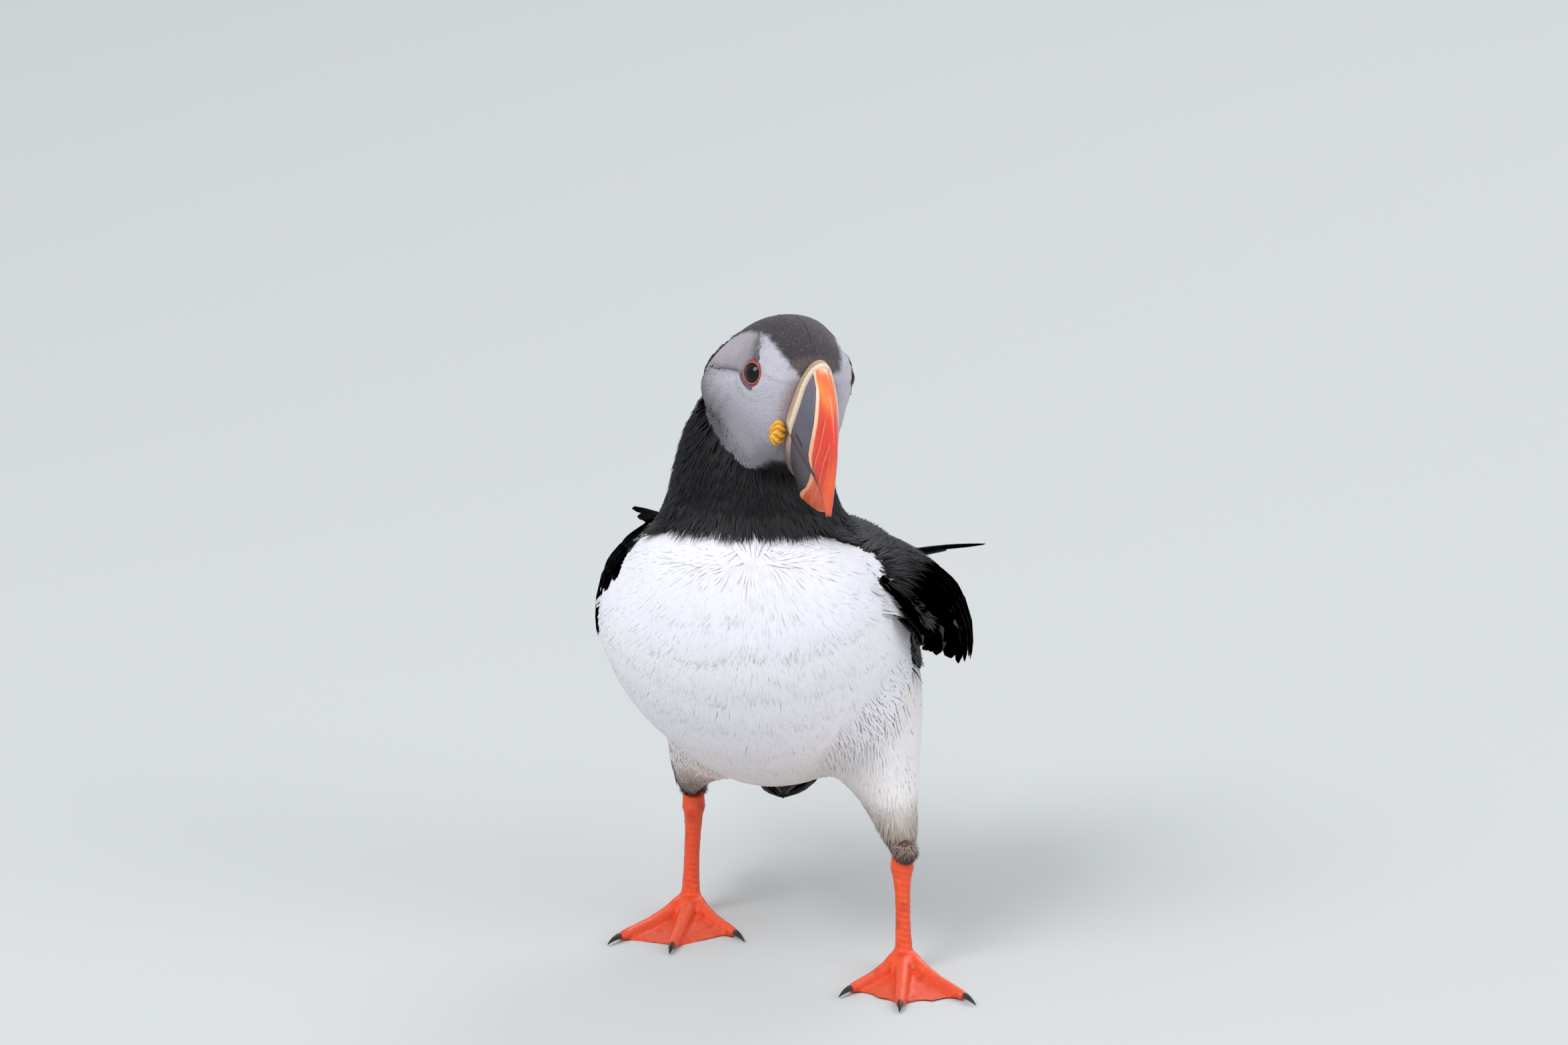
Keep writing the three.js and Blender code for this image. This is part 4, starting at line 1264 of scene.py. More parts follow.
def wing_layer(wing, tips, roots, half, shares, inset, rise, colour, under=False):
    """Feathers on a wing between (s, t) root and tip places, inset below its outer face."""
    tips, roots = np.asarray(tips, float), np.asarray(roots, float)
    at = roots[:, None] + (tips - roots)[:, None] * shares[None, :, None]
    s, t = at[..., 0], at[..., 1]
    ups = wing_normal(wing, s, t)
    depth = inset - rise * shares[None]
    if under:
        thick = (6 - 4 * s) * np.clip(1 - t, 0, 1) ** 1.2 + 1.1
        axis = wing_place(wing, s, t) - ups * (thick - 0.3 + depth)[..., None]
        ups = -ups
    else:
        axis = wing_place(wing, s, t) - ups * depth[..., None]
    base = mix(speckled(np.tile(colour, (len(tips), 1)), 0.85, 1.15), WHITE, lapped(axis[:, 0]))
    return axis, ups, np.asarray(half, float)[:, None] * vane_shape(shares, 0.2), base


def gathered(name, slot, mat, layers, **more):
    """Several layers of feathers made into one piece."""
    axis, ups, half, base = (np.concatenate(part) for part in zip(*layers))
    vanes(name, slot, mat, axis, ups, half, base, np.minimum(base * 1.1, WHITE), fine=True, **more)


FLIGHT_TIPS = [(0.0, 1.0), (0.05, 1.01), (0.1, 1.035), (0.2, 1.03), (0.26, 1.05), (0.32, 1.03), (0.39, 1.0),
               (0.47, 1.01), (0.56, 1.0), (0.65, 1.0), (0.74, 0.99), (0.83, 0.99), (0.92, 0.98), (1.0, 0.97)]
FLIGHT_HALF = [2.2, 2.0, 2.0, 3.4, 2.2, 2.6, 3.4, 3.9, 4.4, 4.7, 4.8, 4.8, 4.8, 4.8]


def wings():
    """Flight feathers, rows of coverts over them, and the linings under them."""
    shares = np.array([0, 0.25, 0.5, 0.72, 0.86, 0.95, 1.0])
    flight, cover = [], []
    for wing in WINGS:
        tips = np.array(FLIGHT_TIPS)
        flight.append(wing_layer(wing, tips, np.stack([tips[:, 0] * 0.9, 0.42 + 0 * tips[:, 0]], 1),
                                 FLIGHT_HALF, shares, 0.6, 0.15, WING_DARK))
        for start, stop, inset, number, half in ((0.36, 0.68, 0.35, 18, 3.3), (0.22, 0.49, 0.1, 21, 2.9),
                                                 (0.12, 0.34, -0.05, 23, 2.6), (0.04, 0.23, -0.15, 24, 2.5),
                                                 (-0.03, 0.14, -0.2, 24, 2.5)):
            s = np.linspace(0.0, 1.0, number) + rng.normal(0, 0.008, number)
            s = np.clip(s, 0.0, 1.0)
            tips = np.stack([np.clip(s + 0.015, 0, 1.01), stop + rng.normal(0, 0.01, number)], 1)
            roots = np.stack([s * 0.97, start + 0 * s], 1)
            half = half * rng.uniform(0.92, 1.08, number)
            cover.append(wing_layer(wing, tips, roots, half, shares, inset, 0.25, WING_DARK * 0.95))
        for start, stop, inset, number, half in ((0.6, 0.93, 0.1, 15, 3.6), (0.36, 0.72, 0.35, 16, 3.4)):
            s = np.linspace(0.0, 1.0, number)
            cover.append(wing_layer(wing, np.stack([s, stop + 0 * s], 1), np.stack([s, start + 0 * s], 1),
                                    half + 0 * s, shares, inset, -0.1, srgb(72, 66, 66), under=True))
    gathered("wing_flight", "dark_plumage", FLIGHT, flight)
    gathered("wing_coverts", "dark_plumage", DARK, cover)


wings()


# Where each feather of the hand ends and begins along its blade; the last three are coverts.
PRIMARIES = [(1, 0.1), (0.96, 0.08), (0.91, 0.06), (0.85, 0.05), (0.78, 0.04), (0.7, 0.03), (0.62, 0.02),
             (0.42, 0), (0.38, 0), (0.34, 0)]


def primaries():
    """Long narrow feathers of each folded hand, one over the other, with short coverts at the root."""
    shares = np.array([0, 0.2, 0.42, 0.62, 0.8, 0.93, 1.0])
    layers = []
    for wing in WINGS:
        root, tip, wide, deep = blade_frame(wing)
        side = WINGS[wing][0]
        for number, (reach, start) in enumerate(PRIMARIES):
            across = (number - 3) / 3 if number < 7 else (number - 8) * 0.7
            at = start + (reach - start) * shares
            blade = spline(BLADE, at)
            off = across * np.maximum(blade[:, 0] - 3, 0) * side
            level = (number - 3) * 0.22 + blade[:, 1] * (0.45 if number < 7 else 0.75)
            axis = root + at[:, None] * (tip - root) + off[:, None] * wide - level[:, None] * deep
            up = np.tile(-deep, (len(shares), 1))
            half = (3.2 if number < 7 else 3.6) * vane_shape(shares, 0.35)
            tone = srgb(40, 35, 34) * rng.uniform(0.85, 1.15)
            layers.append((axis[None], up[None], half[None], tone[None]))
    gathered("primaries", "dark_plumage", FLIGHT, layers, edge=1.5)


primaries()


def rectrices():
    """The twelve tail feathers, the middle ones on top."""
    shares = np.array([0, 0.25, 0.5, 0.72, 0.86, 0.95, 1.0])
    layers = []
    for place in np.linspace(-1, 1, 12):
        reach = 1 - 0.16 * place ** 2
        at = 0.25 + (0.99 * reach - 0.25) * shares
        x, y, z, wide, deep = spline(TAIL, at).T
        level = deep * 0.35 * (1 - abs(place)) + 0.5 - abs(place) * 0.9
        axis = np.stack([x + place * np.maximum(wide - 2.9, 0), y, z + level], 1)
        up = np.tile(unit(np.array([place * 0.15, 0.45, 0.9])), (len(shares), 1))
        tone = BLACK * rng.uniform(0.9, 1.3)
        layers.append((axis[None], up[None], (2.4 * vane_shape(shares, 0.3))[None], tone[None]))
    gathered("tail_feathers", "dark_plumage", FLIGHT, layers)


rectrices()


def wing_hair():
    """Loose feathers of the shoulder that hang over each wing's top, and fringes at its front edge."""
    parts = []
    for wing in WINGS:
        for number, s_span, t_span, reach, high, tone in (
                (1500, (0.0, 0.4), (-0.05, 0.3), (8, 12), (0.8, 2.2), BLACK * 1.1),
                (220, (0.0, 0.06), (0.4, 0.62), (5, 8), (0.4, 1.1), srgb(52, 43, 40)),
                (420, (0.35, 1.0), (-0.05, 0.12), (7, 10), (0.6, 1.3), BLACK * 1.1)):
            s, t = rng.uniform(*s_span, number), rng.uniform(*t_span, number)
            n = wing_normal(wing, s, t)
            p = wing_place(wing, s, t) - n * 0.6
            way = unit(wing_place(wing, s + 0.03, t + 0.12) - wing_place(wing, s, t))
            way = turned(unit(way - n * (way * n).sum(1)[:, None]), n, rng.normal(0, 0.2, number))
            colour = speckled(np.tile(tone, (number, 1)), 0.7, 1.4)
            lap = lapped(p)
            # Each root is painted darker than its tip, as painted shade under the tufts.
            parts.append((p, n, way, rng.uniform(*reach, number), rng.uniform(0.5, 0.9, number),
                          rng.uniform(*high, number) * (1 - 0.6 * lap), mix(colour * 0.7, WHITE * 0.95, lap),
                          mix(colour, WHITE, lap)))
    p, n, way, length, width, lift, base, tip = (np.concatenate(part) for part in zip(*parts))
    tufts("scapulars", DARK, p, n, way, length, width, lift, base, tip, bend=0.5, hang=0.35)


wing_hair()


def hocks():
    """Dark fuzz round the joint between each thigh and its shank."""
    parts = []
    for centre in HOCKS:
        angle = rng.uniform(0, 2 * math.pi, HOCK_TUFTS)
        height = rng.uniform(-0.75, 0.95, HOCK_TUFTS)
        ring = np.sqrt(1 - height ** 2)
        n = np.stack([ring * np.cos(angle), ring * np.sin(angle), height], 1)
        way = unit(np.array([0, 0.15, -1.0]) - n * (0.15 * n[:, 1] - n[:, 2])[:, None])
        parts.append((centre + n * 2.5, n, way))
    p, n, way = (np.concatenate(part) for part in zip(*parts))
    colour = speckled(mix(srgb(84, 66, 60), srgb(150, 132, 122), smooth(0, 0.9, n[:, 2])), 0.8, 1.2)
    length = rng.uniform(2.2, 3.6, len(p))
    # Each root is painted darker than its tip, as painted shade under the fuzz.
    tufts("hock_coat", PLUMAGE, p, n, way, length, 0.5, 0.5, colour * 0.8, colour, hang=1)


hocks()


# ------------------------------------------------------------------ bill

BILL_BASE, BILL_TIP, GONYS_TIP = 23.5, 50.0, 48.6
HORN_START = 21.6                      # where the horn begins, out of sight under the cere
CULMEN_BASE, CULMEN_DROP = 12.3, 33.6
GAPE, MOUTH_DROP, TIP_HOOK, CHIN = -9.0, 7.0, 5.5, -21.5
BILL_HALF = 5.6

SLATE = srgb(82, 80, 94)
SLATE_BROWN = srgb(62, 52, 54)
LINE_DARK = srgb(40, 30, 34)
CREAM_HORN = srgb(240, 202, 176)
BILL_RED = srgb(216, 56, 32)
BILL_ORANGE = srgb(248, 128, 62)
CERE_TAN = srgb(184, 158, 130)
CERE_PALE = srgb(222, 202, 178)
DOT_BROWN = srgb(110, 78, 56)

# Boundaries seen from the side, as (forward, up) in the head's frame.
CHIN_FRONT = [(23.2, -22), (24.2, -16), (23.8, -10)]
CERE_FRONT = [(23.6, 13), (23.6, 12), (23.3, 10.9), (23.3, 8.8), (23.8, 4.8), (24.4, 0.9), (24.2, -3.6),
              (23.5, -8), (23.8, -11)]
SLATE_FRONT = [(21.5, 10.6), (23.6, 10), (25.6, 9.3), (28.5, 7.7), (30.5, 5.3), (32.4, 2.4), (33.7, -0.5),
               (34.4, -3.7), (34.9, -7), (35.5, -9.2), (36.7, -10.8), (38.7, -12), (41.2, -13.6),
               (43.5, -15.5)]
RIDGE_FRONT = [(21.5, 12.4), (24.5, 11.2), (27.1, 9.8), (30, 8.7), (32, 7.2), (34, 4.8), (35.6, 2.3),
               (36.6, 0.1), (37.5, -3.3), (38.3, -6.5), (38.5, -9.1), (39.1, -11.5), (40.6, -13.2),
               (43, -15.4)]
# Path of the painted highlight along the side of the culmen, as (forward, up).
CULMEN_HIGHLIGHT = [(27.3, 9.6), (30.4, 8.6), (34.3, 6.9), (37.4, 5.1), (39.7, 3.2), (40.5, 1)]
GROOVES = [
    ([(36.2, 4), (36.9, 2.9), (37.6, 1.1), (38.4, -1.8), (39.1, -5.3), (39.1, -8.8), (39.3, -11.4),
      (40.6, -13.5)], 2.4, 1.0),
    ([(42, -1.7), (42.5, -3.7), (42.6, -6.9), (42.8, -10.3), (42.9, -13), (43.4, -15.5)], -2.6, 0.8),
    ([(43.7, -3.1), (44.3, -5.5), (45.1, -9.2), (45.6, -13)], -4.5, 0.35),
]                                      # path, the height above which it fades, strength
LOWER_SLATE_FRONT = [(37.2, -11), (37, -13.5), (36.6, -16.4), (35.3, -18.9), (30.8, -22.6), (27.5, -25.3),
                     (26, -27)]
LOWER_RED_FRONT = [(39.5, -11), (39.3, -13.8), (38.8, -16.2), (37, -18.9), (33.7, -22.3), (31, -25),
                   (29, -27)]
LOWER_GROOVES = [([(41.4, -13), (41.2, -16), (40.2, -19), (38, -22)], 5, 0.6)]


def bill_share(f):
    """0 at the bill's base, 1 at its tip."""
    return np.clip((f - BILL_BASE) / (BILL_TIP - BILL_BASE), 0, 1)


def culmen(f):
    """Height of the upper mandible's ridge."""
    return CULMEN_BASE - CULMEN_DROP * (1 - (1 - bill_share(f) ** 1.8) ** (1 / 1.8))


def mouth_line(f):
    """Height at which the mandibles meet."""
    share = bill_share(f)
    return GAPE - MOUTH_DROP * share - TIP_HOOK * share ** 6


def bill_half(f):
    """Half width of the bill."""
    return BILL_HALF * (1 - 0.86 * bill_share(f) ** 1.4)


def keel(f):
    """Height of the lower mandible's edge."""
    along = np.clip((f - BILL_BASE) / (GONYS_TIP - BILL_BASE), 0, 1)
    return spline([[CHIN], [CHIN - 3.6], [CHIN - 3.2], [CHIN - 1.8], [CHIN + 0.6]], along)[..., 0]


def arch(angle, f):
    """Share across and share up of a mandible's section, angle 0 to pi from left to right over the edge."""
    c, s = np.cos(angle), np.sin(angle)
    power = 2 / (2 - 0.35 * bill_share(f))
    return np.sign(c) * np.abs(c) ** power, np.abs(s) ** power


def front_of(f, u, knots):
    """How far in front of a boundary a place is, in mm, below 0 behind it."""
    distance, _ = path_distance(f, u, knots)
    reach = np.array(knots)[np.argsort([k[1] for k in knots])]
    return np.where(f > np.interp(u, reach[:, 1], reach[:, 0]), distance, -distance)


def groove_mark(f, u, paths):
    """Depth share of the grooves, and the pale lip in front of each."""
    dip, lip = np.zeros_like(f), np.zeros_like(f)
    for knots, top, strength in paths:
        ahead = front_of(f, u, knots)
        share = strength * smooth(top + 1.5, top - 1.5, u)
        dip = np.maximum(dip, share * bell(ahead, 0.27))
        lip = np.maximum(lip, share * bell(ahead - 0.5, 0.32))
    return dip, lip


def upper_look(f, u, grain):
    """Relief in mm and colour over the upper mandible."""
    slate, ridge = front_of(f, u, SLATE_FRONT), front_of(f, u, RIDGE_FRONT)
    ridge = ridge + np.clip(slate - ridge, 0, 4) * 0.38
    dip, lip = groove_mark(f, u, GROOVES)
    past = smooth(0.1, 1.0, ridge)
    low = smooth(-6, -13, u)
    welt = np.clip(slate / np.maximum(slate - ridge, 0.3), 0, 1) * (ridge < 0) * (slate > 0)
    relief = 0.36 * np.sin(math.pi * welt) - 0.2 * bell(slate, 0.25) + past * (0.14 * lip - 0.34 * dip)
    # The slate's own tone, painted lighter higher up as a painted sheen.
    dark = mix(mix(SLATE_BROWN, SLATE, smooth(-12, -5, u)), srgb(106, 104, 120), smooth(-4, 9, u) * 0.6)
    dark = mix(dark, srgb(132, 108, 112), 0.45 * bell(slate + 0.5, 0.5) * smooth(-2, 5, u))
    red = mix(BILL_RED, BILL_ORANGE, smooth(0, 10, u) * 0.55 + 0.12 * grain)
    red = mix(red, srgb(190, 52, 32), 0.45 * smooth(-7, -15, u))
    # Painted highlight along the culmen's side.
    highlight_gap, along = path_distance(f, u, CULMEN_HIGHLIGHT)
    red = mix(red, srgb(252, 146, 72), 0.6 * bell(highlight_gap, 1.2) * smooth(0.75, 0.35, along))
    red = mix(red, srgb(238, 116, 62), 0.5 * smooth(44.5, 48, f))
    # Painted shade in the grooves.
    red = mix(red, srgb(150, 62, 50), dip * 0.75)
    red = mix(red, srgb(246, 150, 104), lip * 0.55)
    shadow = bell(ridge - 0.5, 0.7) * low
    red = mix(red, srgb(120, 60, 48), shadow * 0.7)
    cream = mix(srgb(226, 168, 136), CREAM_HORN, smooth(-9, 4, u))
    red = mix(red, mix(CREAM_HORN, red, smooth(23.5, 28, f)), smooth(1.5, -0.5, culmen(f) - u))
    colour = mix(dark, LINE_DARK, smooth(-0.3, -0.05, slate))
    colour = mix(colour, cream, smooth(0.1, 0.35, slate))
    colour = mix(colour, red, smooth(-0.3, 0.3, ridge))
    rim = smooth(1.3, 0.1, u - mouth_line(f))
    colour = mix(colour, SLATE_BROWN * 0.85, rim * np.where(slate < 0, 0.85, 0.45))
    nostril, _ = path_distance(f, u, [(26.4, -7.4), (28.6, -7.9), (31, -8.6)])
    slit = bell(nostril, 0.36)
    return relief - 0.5 * slit, mix(colour, srgb(24, 18, 20), slit)


def lower_look(f, u, grain):
    """Relief in mm and colour over the lower mandible."""
    slate, ridge = front_of(f, u, LOWER_SLATE_FRONT), front_of(f, u, LOWER_RED_FRONT)
    dip, lip = groove_mark(f, u, LOWER_GROOVES)
    welt = np.clip(slate / np.maximum(slate - ridge, 0.3), 0, 1) * (ridge < 0) * (slate > 0)
    relief = 0.3 * np.sin(math.pi * welt) - 0.15 * bell(slate, 0.25)
    relief += smooth(0.1, 1, ridge) * (0.12 * lip - 0.3 * dip)
    colour = mix(srgb(60, 50, 48), SLATE, smooth(-22, -14, u) * 0.4 + 0.1 * grain)
    colour = mix(colour, LINE_DARK, 0.7 * smooth(-0.4, -0.05, slate))
    colour = mix(colour, srgb(222, 150, 116), smooth(0.1, 0.45, slate))
    red = mix(srgb(190, 74, 46), srgb(226, 104, 60), 0.35 + 0.3 * grain + 0.3 * smooth(-15, -12, u))
    # Painted shade in the grooves, then the pale lips.
    red = mix(mix(red, srgb(140, 58, 44), dip * 0.7), srgb(236, 150, 110), lip * 0.5)
    return relief, mix(colour, red, smooth(-0.3, 0.35, ridge))


def mandible(name, node, upper):
    """One horn half of the bill, its outer face shaped and coloured, its inner face hollow."""
    rows, over, under = 230, 190, 15
    tip = BILL_TIP if upper else GONYS_TIP
    turn = np.linspace(0, 1, rows)
    f = (HORN_START + (tip - HORN_START) * np.sin(turn * math.pi / 2))[:, None]
    across, level = arch(np.linspace(0, math.pi, over)[None], f)
    along = np.clip((f - BILL_BASE) / (tip - BILL_BASE), 0, 1)
    if upper:
        half, floor_line, edge = bill_half(f), mouth_line(f), culmen(f)
    else:
        half = bill_half(f) * (1 - 0.25 * along) - 0.4
        floor_line = mouth_line(f) - 0.3 - 0.5 * np.sin(along * math.pi)
        edge = keel(f)
    hidden = 1 - 0.16 * smooth(BILL_BASE, HORN_START, f)
    l = half * hidden * across
    u = floor_line + hidden * level * (edge - floor_line)
    arc = np.stack([l, -f + 0 * l, u], -1)
    inner = np.linspace(-1, 1, under + 2)[None, 1:-1]
    hollow = (1 if upper else -1) * 1.1 * (1 - inner ** 2) * np.minimum(1, half / 3)
    flat = np.stack([half * hidden * inner, -f + 0 * inner, floor_line + hollow], -1)
    ring = np.concatenate([arc, flat], 1)
    columns = ring.shape[1]
    points, triangles = closed_tube(ring)
    surface = Surface(points, triangles)
    normal = surface.normals()
    outside = np.tile(np.arange(columns) < over, rows)
    grain = noise_a(points, 3.0) * 0.5 + noise_b(points, 1.1) * 0.3
    relief, colour = (upper_look if upper else lower_look)(-points[:, 1], points[:, 2], grain)
    relief = np.where(outside, relief + 0.035 * grain, 0) * smooth(tip, tip - 1.5, -points[:, 1])
    colour = mix(colour, srgb(120, 56, 46), np.where(outside, 0.0, 0.8))
    colour = colour * (1 + 0.05 * noise_c(points, 0.8))[:, None]
    points = from_head(points + normal * relief[:, None])
    piece = build(name, points, triangles, HORN, np.clip(colour, 0.002, 1))
    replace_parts(piece, node)


mandible("bill_upper_horn", "bill_upper", True)
mandible("bill_lower_horn", "bill_lower", False)


def base_band(name, upper):
    """The soft band round the bill's base, with rows of pits, above or below the mouth line."""
    rows, columns = 44, 440
    angle = np.linspace(0.0, math.pi, columns)
    back = FACE_FRONT + 0.1
    top = arch(angle, np.array(BILL_BASE))[1] * ((CULMEN_BASE if upper else CHIN) - GAPE) + GAPE
    front = line(top, *[(u, f) for f, u in (CERE_FRONT if upper else CHIN_FRONT)])
    t = np.linspace(0, 1, rows)[:, None]
    f = back + (front[None] - back) * t
    here = np.maximum(f, BILL_BASE)
    half = bill_half(here) if upper else bill_half(here) * 0.97 - 0.4
    floor_line = mouth_line(here) if upper else mouth_line(here) - 0.3
    ridge = culmen(here) if upper else keel(here)
    across, level = arch(angle[None], here)
    l, u = half * across, floor_line + level * (ridge - floor_line)
    out_l, out_u = np.gradient(u, axis=1), -np.gradient(l, axis=1)
    size = np.hypot(out_l, out_u) * (1 if upper else -1)
    out_l, out_u = out_l / size, out_u / size
    ends = np.minimum(angle, math.pi - angle)[None]
    swell = (1.0 if upper else 0.7) * np.sqrt(np.clip(1 - t ** 6, 0, 1)) * smooth(-0.06, 0.06, t + 0 * ends)
    swell = swell * smooth(0, 0.16, ends)
    swell -= 0.4 * smooth(0.96, 1.0, t + 0 * ends) + 0.3 * smooth(0.02, 0, ends)
    points = np.stack([l + out_l * swell, -f, u + out_u * swell], -1)
    arc = np.concatenate([[0], np.cumsum(np.hypot(np.diff(l[0]), np.diff(u[0])))])[None]
    deep = f - back
    row = np.round(deep / 0.62)
    pit = np.hypot((arc / 0.62 + row * 0.5) % 1 - 0.5, deep / 0.62 - row) * 0.62
    high = smooth(-9, 0, points[..., 2])
    dot = smooth(0.22, 0.1, pit) * smooth(0.06, 0.16, t) * smooth(0.72, 0.6, t) * high
    points[..., 0] -= out_l * dot * 0.12
    points[..., 2] -= out_u * dot * 0.12
    flat = points.reshape(-1, 3)
    edge = np.broadcast_to(t, f.shape).ravel()
    if upper:
        colour = mix(CERE_TAN, CERE_PALE, smooth(2, -9, flat[:, 2]) * 0.4)
        colour = mix(colour, CERE_PALE, smooth(0.55, 0.75, edge))
        colour = mix(colour, srgb(166, 124, 92), 0.6 * smooth(0.16, 0, edge) * smooth(-7, 2, flat[:, 2]))
    else:
        colour = mix(srgb(112, 92, 86), srgb(168, 140, 128), smooth(-17, -11, flat[:, 2]))
    colour = mix(colour, DOT_BROWN, dot.ravel() * 0.8)
    colour = colour * (1 + 0.07 * noise_b(flat, 1.8))[:, None]
    faces = grid_faces(rows, columns)
    piece = build(name, from_head(flat), faces[:, ::-1] if upper else faces, CERE, colour)
    return piece


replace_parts(base_band("cere_band", True), "cere")
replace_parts(base_band("chin_band", False), "bill_lower")


def rosette(side):
    """Folded yellow skin at the corner of the mouth."""
    rows, columns = 46, 90
    theta = np.linspace(0.001, math.pi - 0.001, rows)[:, None]
    phi = np.linspace(0, 2 * math.pi, columns, endpoint=False)[None]
    ball = np.stack([np.cos(theta) + 0 * phi, np.sin(theta) * np.cos(phi), np.sin(theta) * np.sin(phi)], -1)
    fold = (0.5 + 0.5 * np.sin(phi * 9 + 1.4 * np.sin(theta * 2.1))) ** 0.8
    ripple = 0.5 + 0.5 * np.sin(phi * 22 + 2.6 * np.sin(theta * 3.3))
    spread = smooth(0.1, 0.6, theta)
    radius = 1.02 - 0.2 * (1 - fold) * spread - 0.06 * ripple * spread - 0.3 * bell(theta, 0.3)
    points = ball * radius[..., None] * (2.3 * side, 3.05, 3.75) + (8 * side, -19.3, -10)
    flat = points.reshape(-1, 3)
    # Darker orange in the hollows of the folds and at the middle, as painted shade.
    deep = ((1 - fold) * spread * (0.8 + 0.2 * ripple) + 0.7 * bell(theta, 0.3)).clip(0, 1).ravel()
    colour = mix(srgb(242, 182, 48), srgb(186, 92, 22), deep * 0.95)
    colour = mix(colour, srgb(250, 208, 104), smooth(0, 1, noise_a(flat, 2.5)) * 0.4)
    faces = grid_faces(rows, columns, closed=True)
    label = SIDES[side]
    piece = build(f"mouth_corner_{label}", from_head(flat), turned_out(faces, side), ROSETTE, colour)
    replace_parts(piece, f"rosette_{label}")


# ------------------------------------------------------------------ eyes

def skin_height(side, x, y):
    """Height of the skin above the eye's middle, along the way the eye looks, at places in its plane."""
    middle, ahead, up, out = eye_frame(side)
    start = middle + np.outer(x, ahead) + np.outer(y, up) + 12 * out
    way = Vector(HEAD @ -out)
    height = np.empty(len(x))
    for k, p in enumerate(from_head(start).tolist()):
        hit = skin_tree.ray_cast(Vector(p), way, 20)
        height[k] = 12 - hit[3] if hit[0] is not None else -2
    return height


def in_eye_plane(side, x, y, height):
    """Body-frame points from eye coordinates."""
    middle, ahead, up, out = eye_frame(side)
    return from_head(middle + x[..., None] * ahead + y[..., None] * up + height[..., None] * out)


def eyeball(side):
    """A dark ball with a domed cornea, its pupil and iris in the colour."""
    rows, columns = 60, 64
    theta = np.linspace(0.001, math.pi - 0.001, rows)[:, None]
    phi = np.linspace(0, 2 * math.pi, columns, endpoint=False)[None]
    cornea = 1 + 0.03 * bell(theta, 0.5)
    x, y = EYE_RADIUS * np.sin(theta) * np.cos(phi), EYE_RADIUS * np.sin(theta) * np.sin(phi)
    z = EYE_RADIUS * np.cos(theta) * cornea + 0 * phi
    points = in_eye_plane(side, x, y, z).reshape(-1, 3)
    spokes = 0.5 + 0.5 * np.sin(phi * 37 + 3 * np.sin(phi * 5)) * np.sin(theta * 40)
    iris = mix(srgb(18, 11, 10), srgb(34, 20, 17), 0.4 * spokes + 0 * theta)
    colour = mix(srgb(4, 4, 5), iris, smooth(0.33, 0.37, theta) + 0 * phi)
    colour = mix(colour, srgb(12, 9, 9), smooth(0.55, 0.66, theta) + 0 * phi)
    label = SIDES[side]
    faces = grid_faces(rows, columns, closed=True)
    piece = build(f"eyeball_{label}", points, turned_out(faces, side), EYE, colour.reshape(-1, 3))
    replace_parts(piece, f"eye_{label}")


def lids(side):
    """The bare lids: a pale rim against the ball, then red skin with fine wrinkles out to an uneven edge."""
    columns = 160
    phi = np.linspace(0, 2 * math.pi, columns, endpoint=False)
    edge = (bare_radius(phi) + np.roll(bare_radius(phi), 3) + np.roll(bare_radius(phi), -3)) / 3 + 0.3
    outer = skin_height(side, edge * np.cos(phi), edge * np.sin(phi))
    outer = (np.roll(outer, 2) + np.roll(outer, -2) + outer * 2) / 4
    share = [0, 0.05, 0.1, 0.15, 0.2, 0.26, 0.33, 0.42, 0.52, 0.62, 0.72, 0.82, 0.9, 0.96, 1.0]
    share = np.array(share)[:, None]
    start = OPENING - 0.1
    rho = np.where(share < 0.33, start + share / 0.33 * (RIM + 0.05 - start),
                   RIM + 0.05 + (share - 0.33) / 0.67 * (edge[None] - RIM - 0.05))
    crown = math.sqrt(EYE_RADIUS ** 2 - OPENING ** 2)
    rim = crown - 0.1 + 0.42 * np.sin(np.clip((rho - start) / (RIM + 0.05 - start), 0, 1) * math.pi) ** 0.7
    rim = np.where(rho < start + 0.04, crown - 0.4, rim)
    x, y = rho * np.cos(phi)[None], rho * np.sin(phi)[None]
    skin = skin_height(side, x.ravel(), y.ravel()).reshape(x.shape) * np.ones_like(rho)
    blend = smooth(0.33, 0.9, share)
    wrinkle = 0.05 * np.sin(phi * 19 + 2 * np.sin(phi * 3))[None] * smooth(0.3, 0.45, share)
    height = rim * (1 - blend) + (outer[None] + 0.14) * blend
    height = np.where(rho > RIM, np.maximum(height, np.minimum(skin + 0.12, height + 0.8)), height)
    height += wrinkle - 0.45 * smooth(0.92, 1.0, share)
    points = in_eye_plane(side, x, y, height).reshape(-1, 3)
    red = mix(srgb(158, 60, 50), srgb(122, 38, 32), smooth(0, 1, noise_a(points, 1.6)) * 0.6)
    wedge = (smooth(3.4, 4.4, rho) * smooth(0.1, 0.8, np.sin(phi - 0.35)[None])).ravel()
    red = mix(red, srgb(116, 38, 36), wedge * 0.75)
    pale = smooth(RIM + 0.02, RIM - 0.06, rho).ravel()
    colour = mix(red, srgb(176, 108, 98), pale)
    gap = bell(rho.ravel() - RIM - 0.04, 0.07)
    colour = mix(colour, srgb(96, 30, 26), gap * 0.6)
    label = SIDES[side]
    faces = grid_faces(len(share), columns, closed=True)
    piece = build(f"lids_{label}", points, turned_out(faces, side), BARE, colour)
    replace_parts(piece, f"eye_ring_{label}")


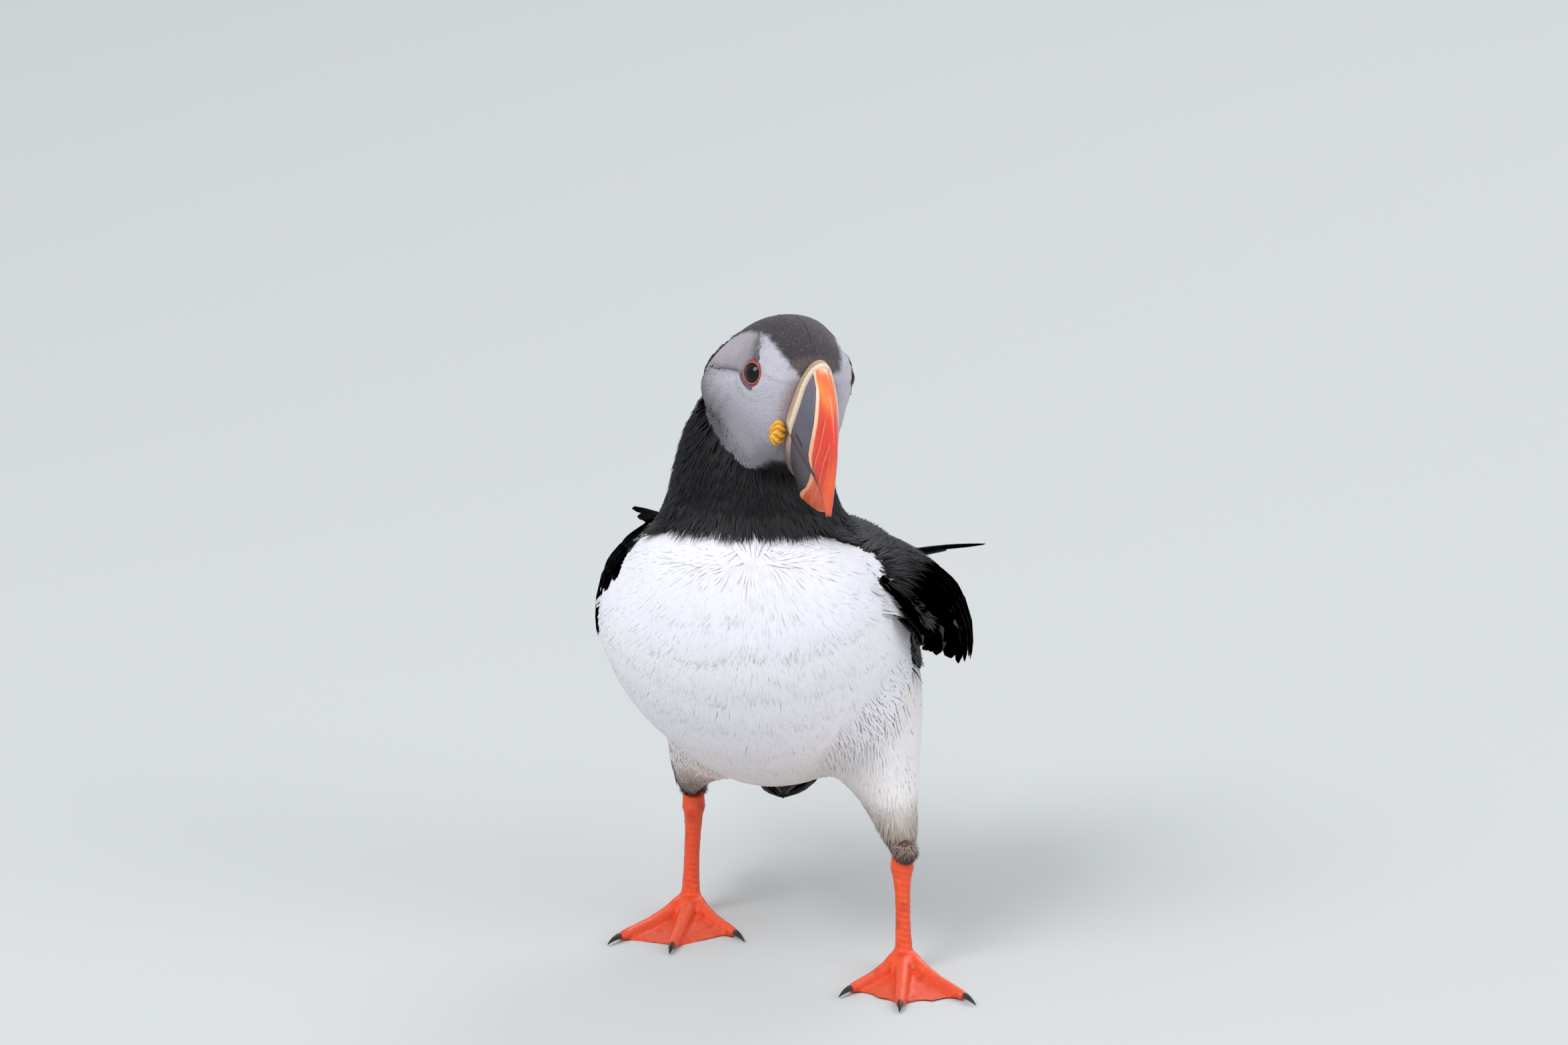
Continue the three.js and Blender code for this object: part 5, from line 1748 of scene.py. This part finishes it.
def eye_plate(side, name, node, knots, thick, red_low):
    """A small horn plate on the skin, domed, its border sunk."""
    outline = rounded(knots, 120)
    middle = outline.mean(0)
    s = np.linspace(0.02, 1, 16)[:, None, None]
    plane = middle + (outline - middle)[None] * s
    shape = plane.shape[:2]
    x, y = plane[..., 0].ravel(), plane[..., 1].ravel()
    base = skin_height(side, x, y)
    fit = np.linalg.lstsq(np.stack([x, y, x * x, y * y, 1 + 0 * x], 1), base, rcond=None)[0]
    base = (np.stack([x, y, x * x, y * y, 1 + 0 * x], 1) @ fit).reshape(shape)
    s = s[..., 0]
    height = base + thick * np.sqrt(np.clip(1 - s ** 4, 0, 1)) - 0.4 * smooth(0.93, 1, s)
    height += 0.04 * noise_b(np.stack([x, y, 0 * x], 1), 1.2).reshape(shape)
    points = in_eye_plane(side, plane[..., 0], plane[..., 1], height).reshape(-1, 3)
    rho = np.hypot(x, y)
    colour = mix(srgb(92, 88, 98), srgb(66, 61, 70), smooth(0, 1, noise_a(points, 2.0)) * 0.6)
    colour = mix(colour, srgb(104, 52, 50), smooth(5.0, 3.9, rho) * red_low)
    colour = mix(colour, srgb(52, 44, 50), smooth(0.82, 0.97, np.broadcast_to(s, shape).ravel()) * 0.5)
    faces = grid_faces(*shape, closed=True)
    triangles = np.concatenate([faces[:, :3], faces[:, [0, 2, 3]], fan_faces(shape[1])])
    a, b, c = (points[triangles[:, k]] for k in range(3))
    outward = np.cross(b - a, c - a).sum(0) @ (HEAD @ eye_frame(side)[3]) > 0
    piece = build(name, points, triangles if outward else triangles[:, ::-1], BARE, colour)
    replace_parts(piece, node)


for side, label in SIDES.items():
    eyeball(side)
    lids(side)
    rosette(side)
    eye_plate(side, f"upper_plate_{label}", f"eye_plate_{label}", UPPER_PLATE, 0.6, 0.8)
    eye_plate(side, f"lower_plate_{label}", f"eye_ring_{label}", LOWER_PLATE, 0.5, 0.15)


# ------------------------------------------------------------------ claws

def claws():
    """Each claw's solid wrapped finely, dark with a paler root."""
    for side in ("left", "right"):
        for toe in ("inner", "middle", "outer"):
            node = f"claw_{toe}_{side}"
            points, triangles, _ = node_arrays([node])
            surface = Surface(*remeshed(points, triangles, CLAW_VOXEL))
            surface.relax(10, 0.5)
            surface.points[:, 2] = np.maximum(surface.points[:, 2], 0.05)
            low, high = surface.points.min(0), surface.points.max(0)
            along = (high[1] - surface.points[:, 1]) / (high[1] - low[1])
            colour = mix(srgb(58, 48, 46), srgb(22, 20, 22), smooth(0.1, 0.6, along))
            colour = mix(colour, srgb(110, 70, 56), smooth(0.14, 0.0, along) * 0.6)
            piece = build(f"claw_{toe}_{side}_horn", surface.points, surface.triangles, CLAW, colour)
            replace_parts(piece, node)


claws()

# ------------------------------------------------------------------ floor and lights

floor_mesh = bpy.data.meshes.new("floor")
reach = 9.0                            # half the floor, in metres
floor_mesh.from_pydata([(-reach, -reach, 0), (reach, -reach, 0), (reach, reach, 0), (-reach, reach, 0)], [],
                       [(0, 1, 2, 3)])
floor = placed("floor", floor_mesh)
floor_look = bpy.data.materials.new("floor")
floor_look.use_nodes = True
floor_shader = floor_look.node_tree.nodes["Principled BSDF"]
floor_shader.inputs["Base Color"].default_value = (0.55, 0.56, 0.56, 1)
floor_shader.inputs["Roughness"].default_value = 0.9
floor.data.materials.append(floor_look)


def soft_light(name, place, aim, size, power):
    """A round area light, in metres and watts."""
    data = bpy.data.lights.new(name, "AREA")
    data.shape = "DISK"
    data.size = size
    data.energy = power
    lamp = placed(name, data)
    lamp.location = place
    lamp.rotation_euler = (Vector(aim) - Vector(place)).to_track_quat("-Z", "Y").to_euler()


soft_light("key", (-0.9, -1.1, 1.7), (0, 0, 0.1), 1.1, 25)
soft_light("fill", (1.4, -0.9, 0.9), (0, 0, 0.1), 1.2, 9)
soft_light("rim", (0.6, 1.3, 1.3), (0, 0, 0.12), 0.8, 8)
world = bpy.data.worlds.new("sky")
bpy.context.scene.world = world
world.use_nodes = True
sky = world.node_tree.nodes["Background"]
sky.inputs["Color"].default_value = (0.9, 0.95, 1.0, 1)
sky.inputs["Strength"].default_value = 0.75
bpy.context.scene.view_settings.view_transform = "Standard"
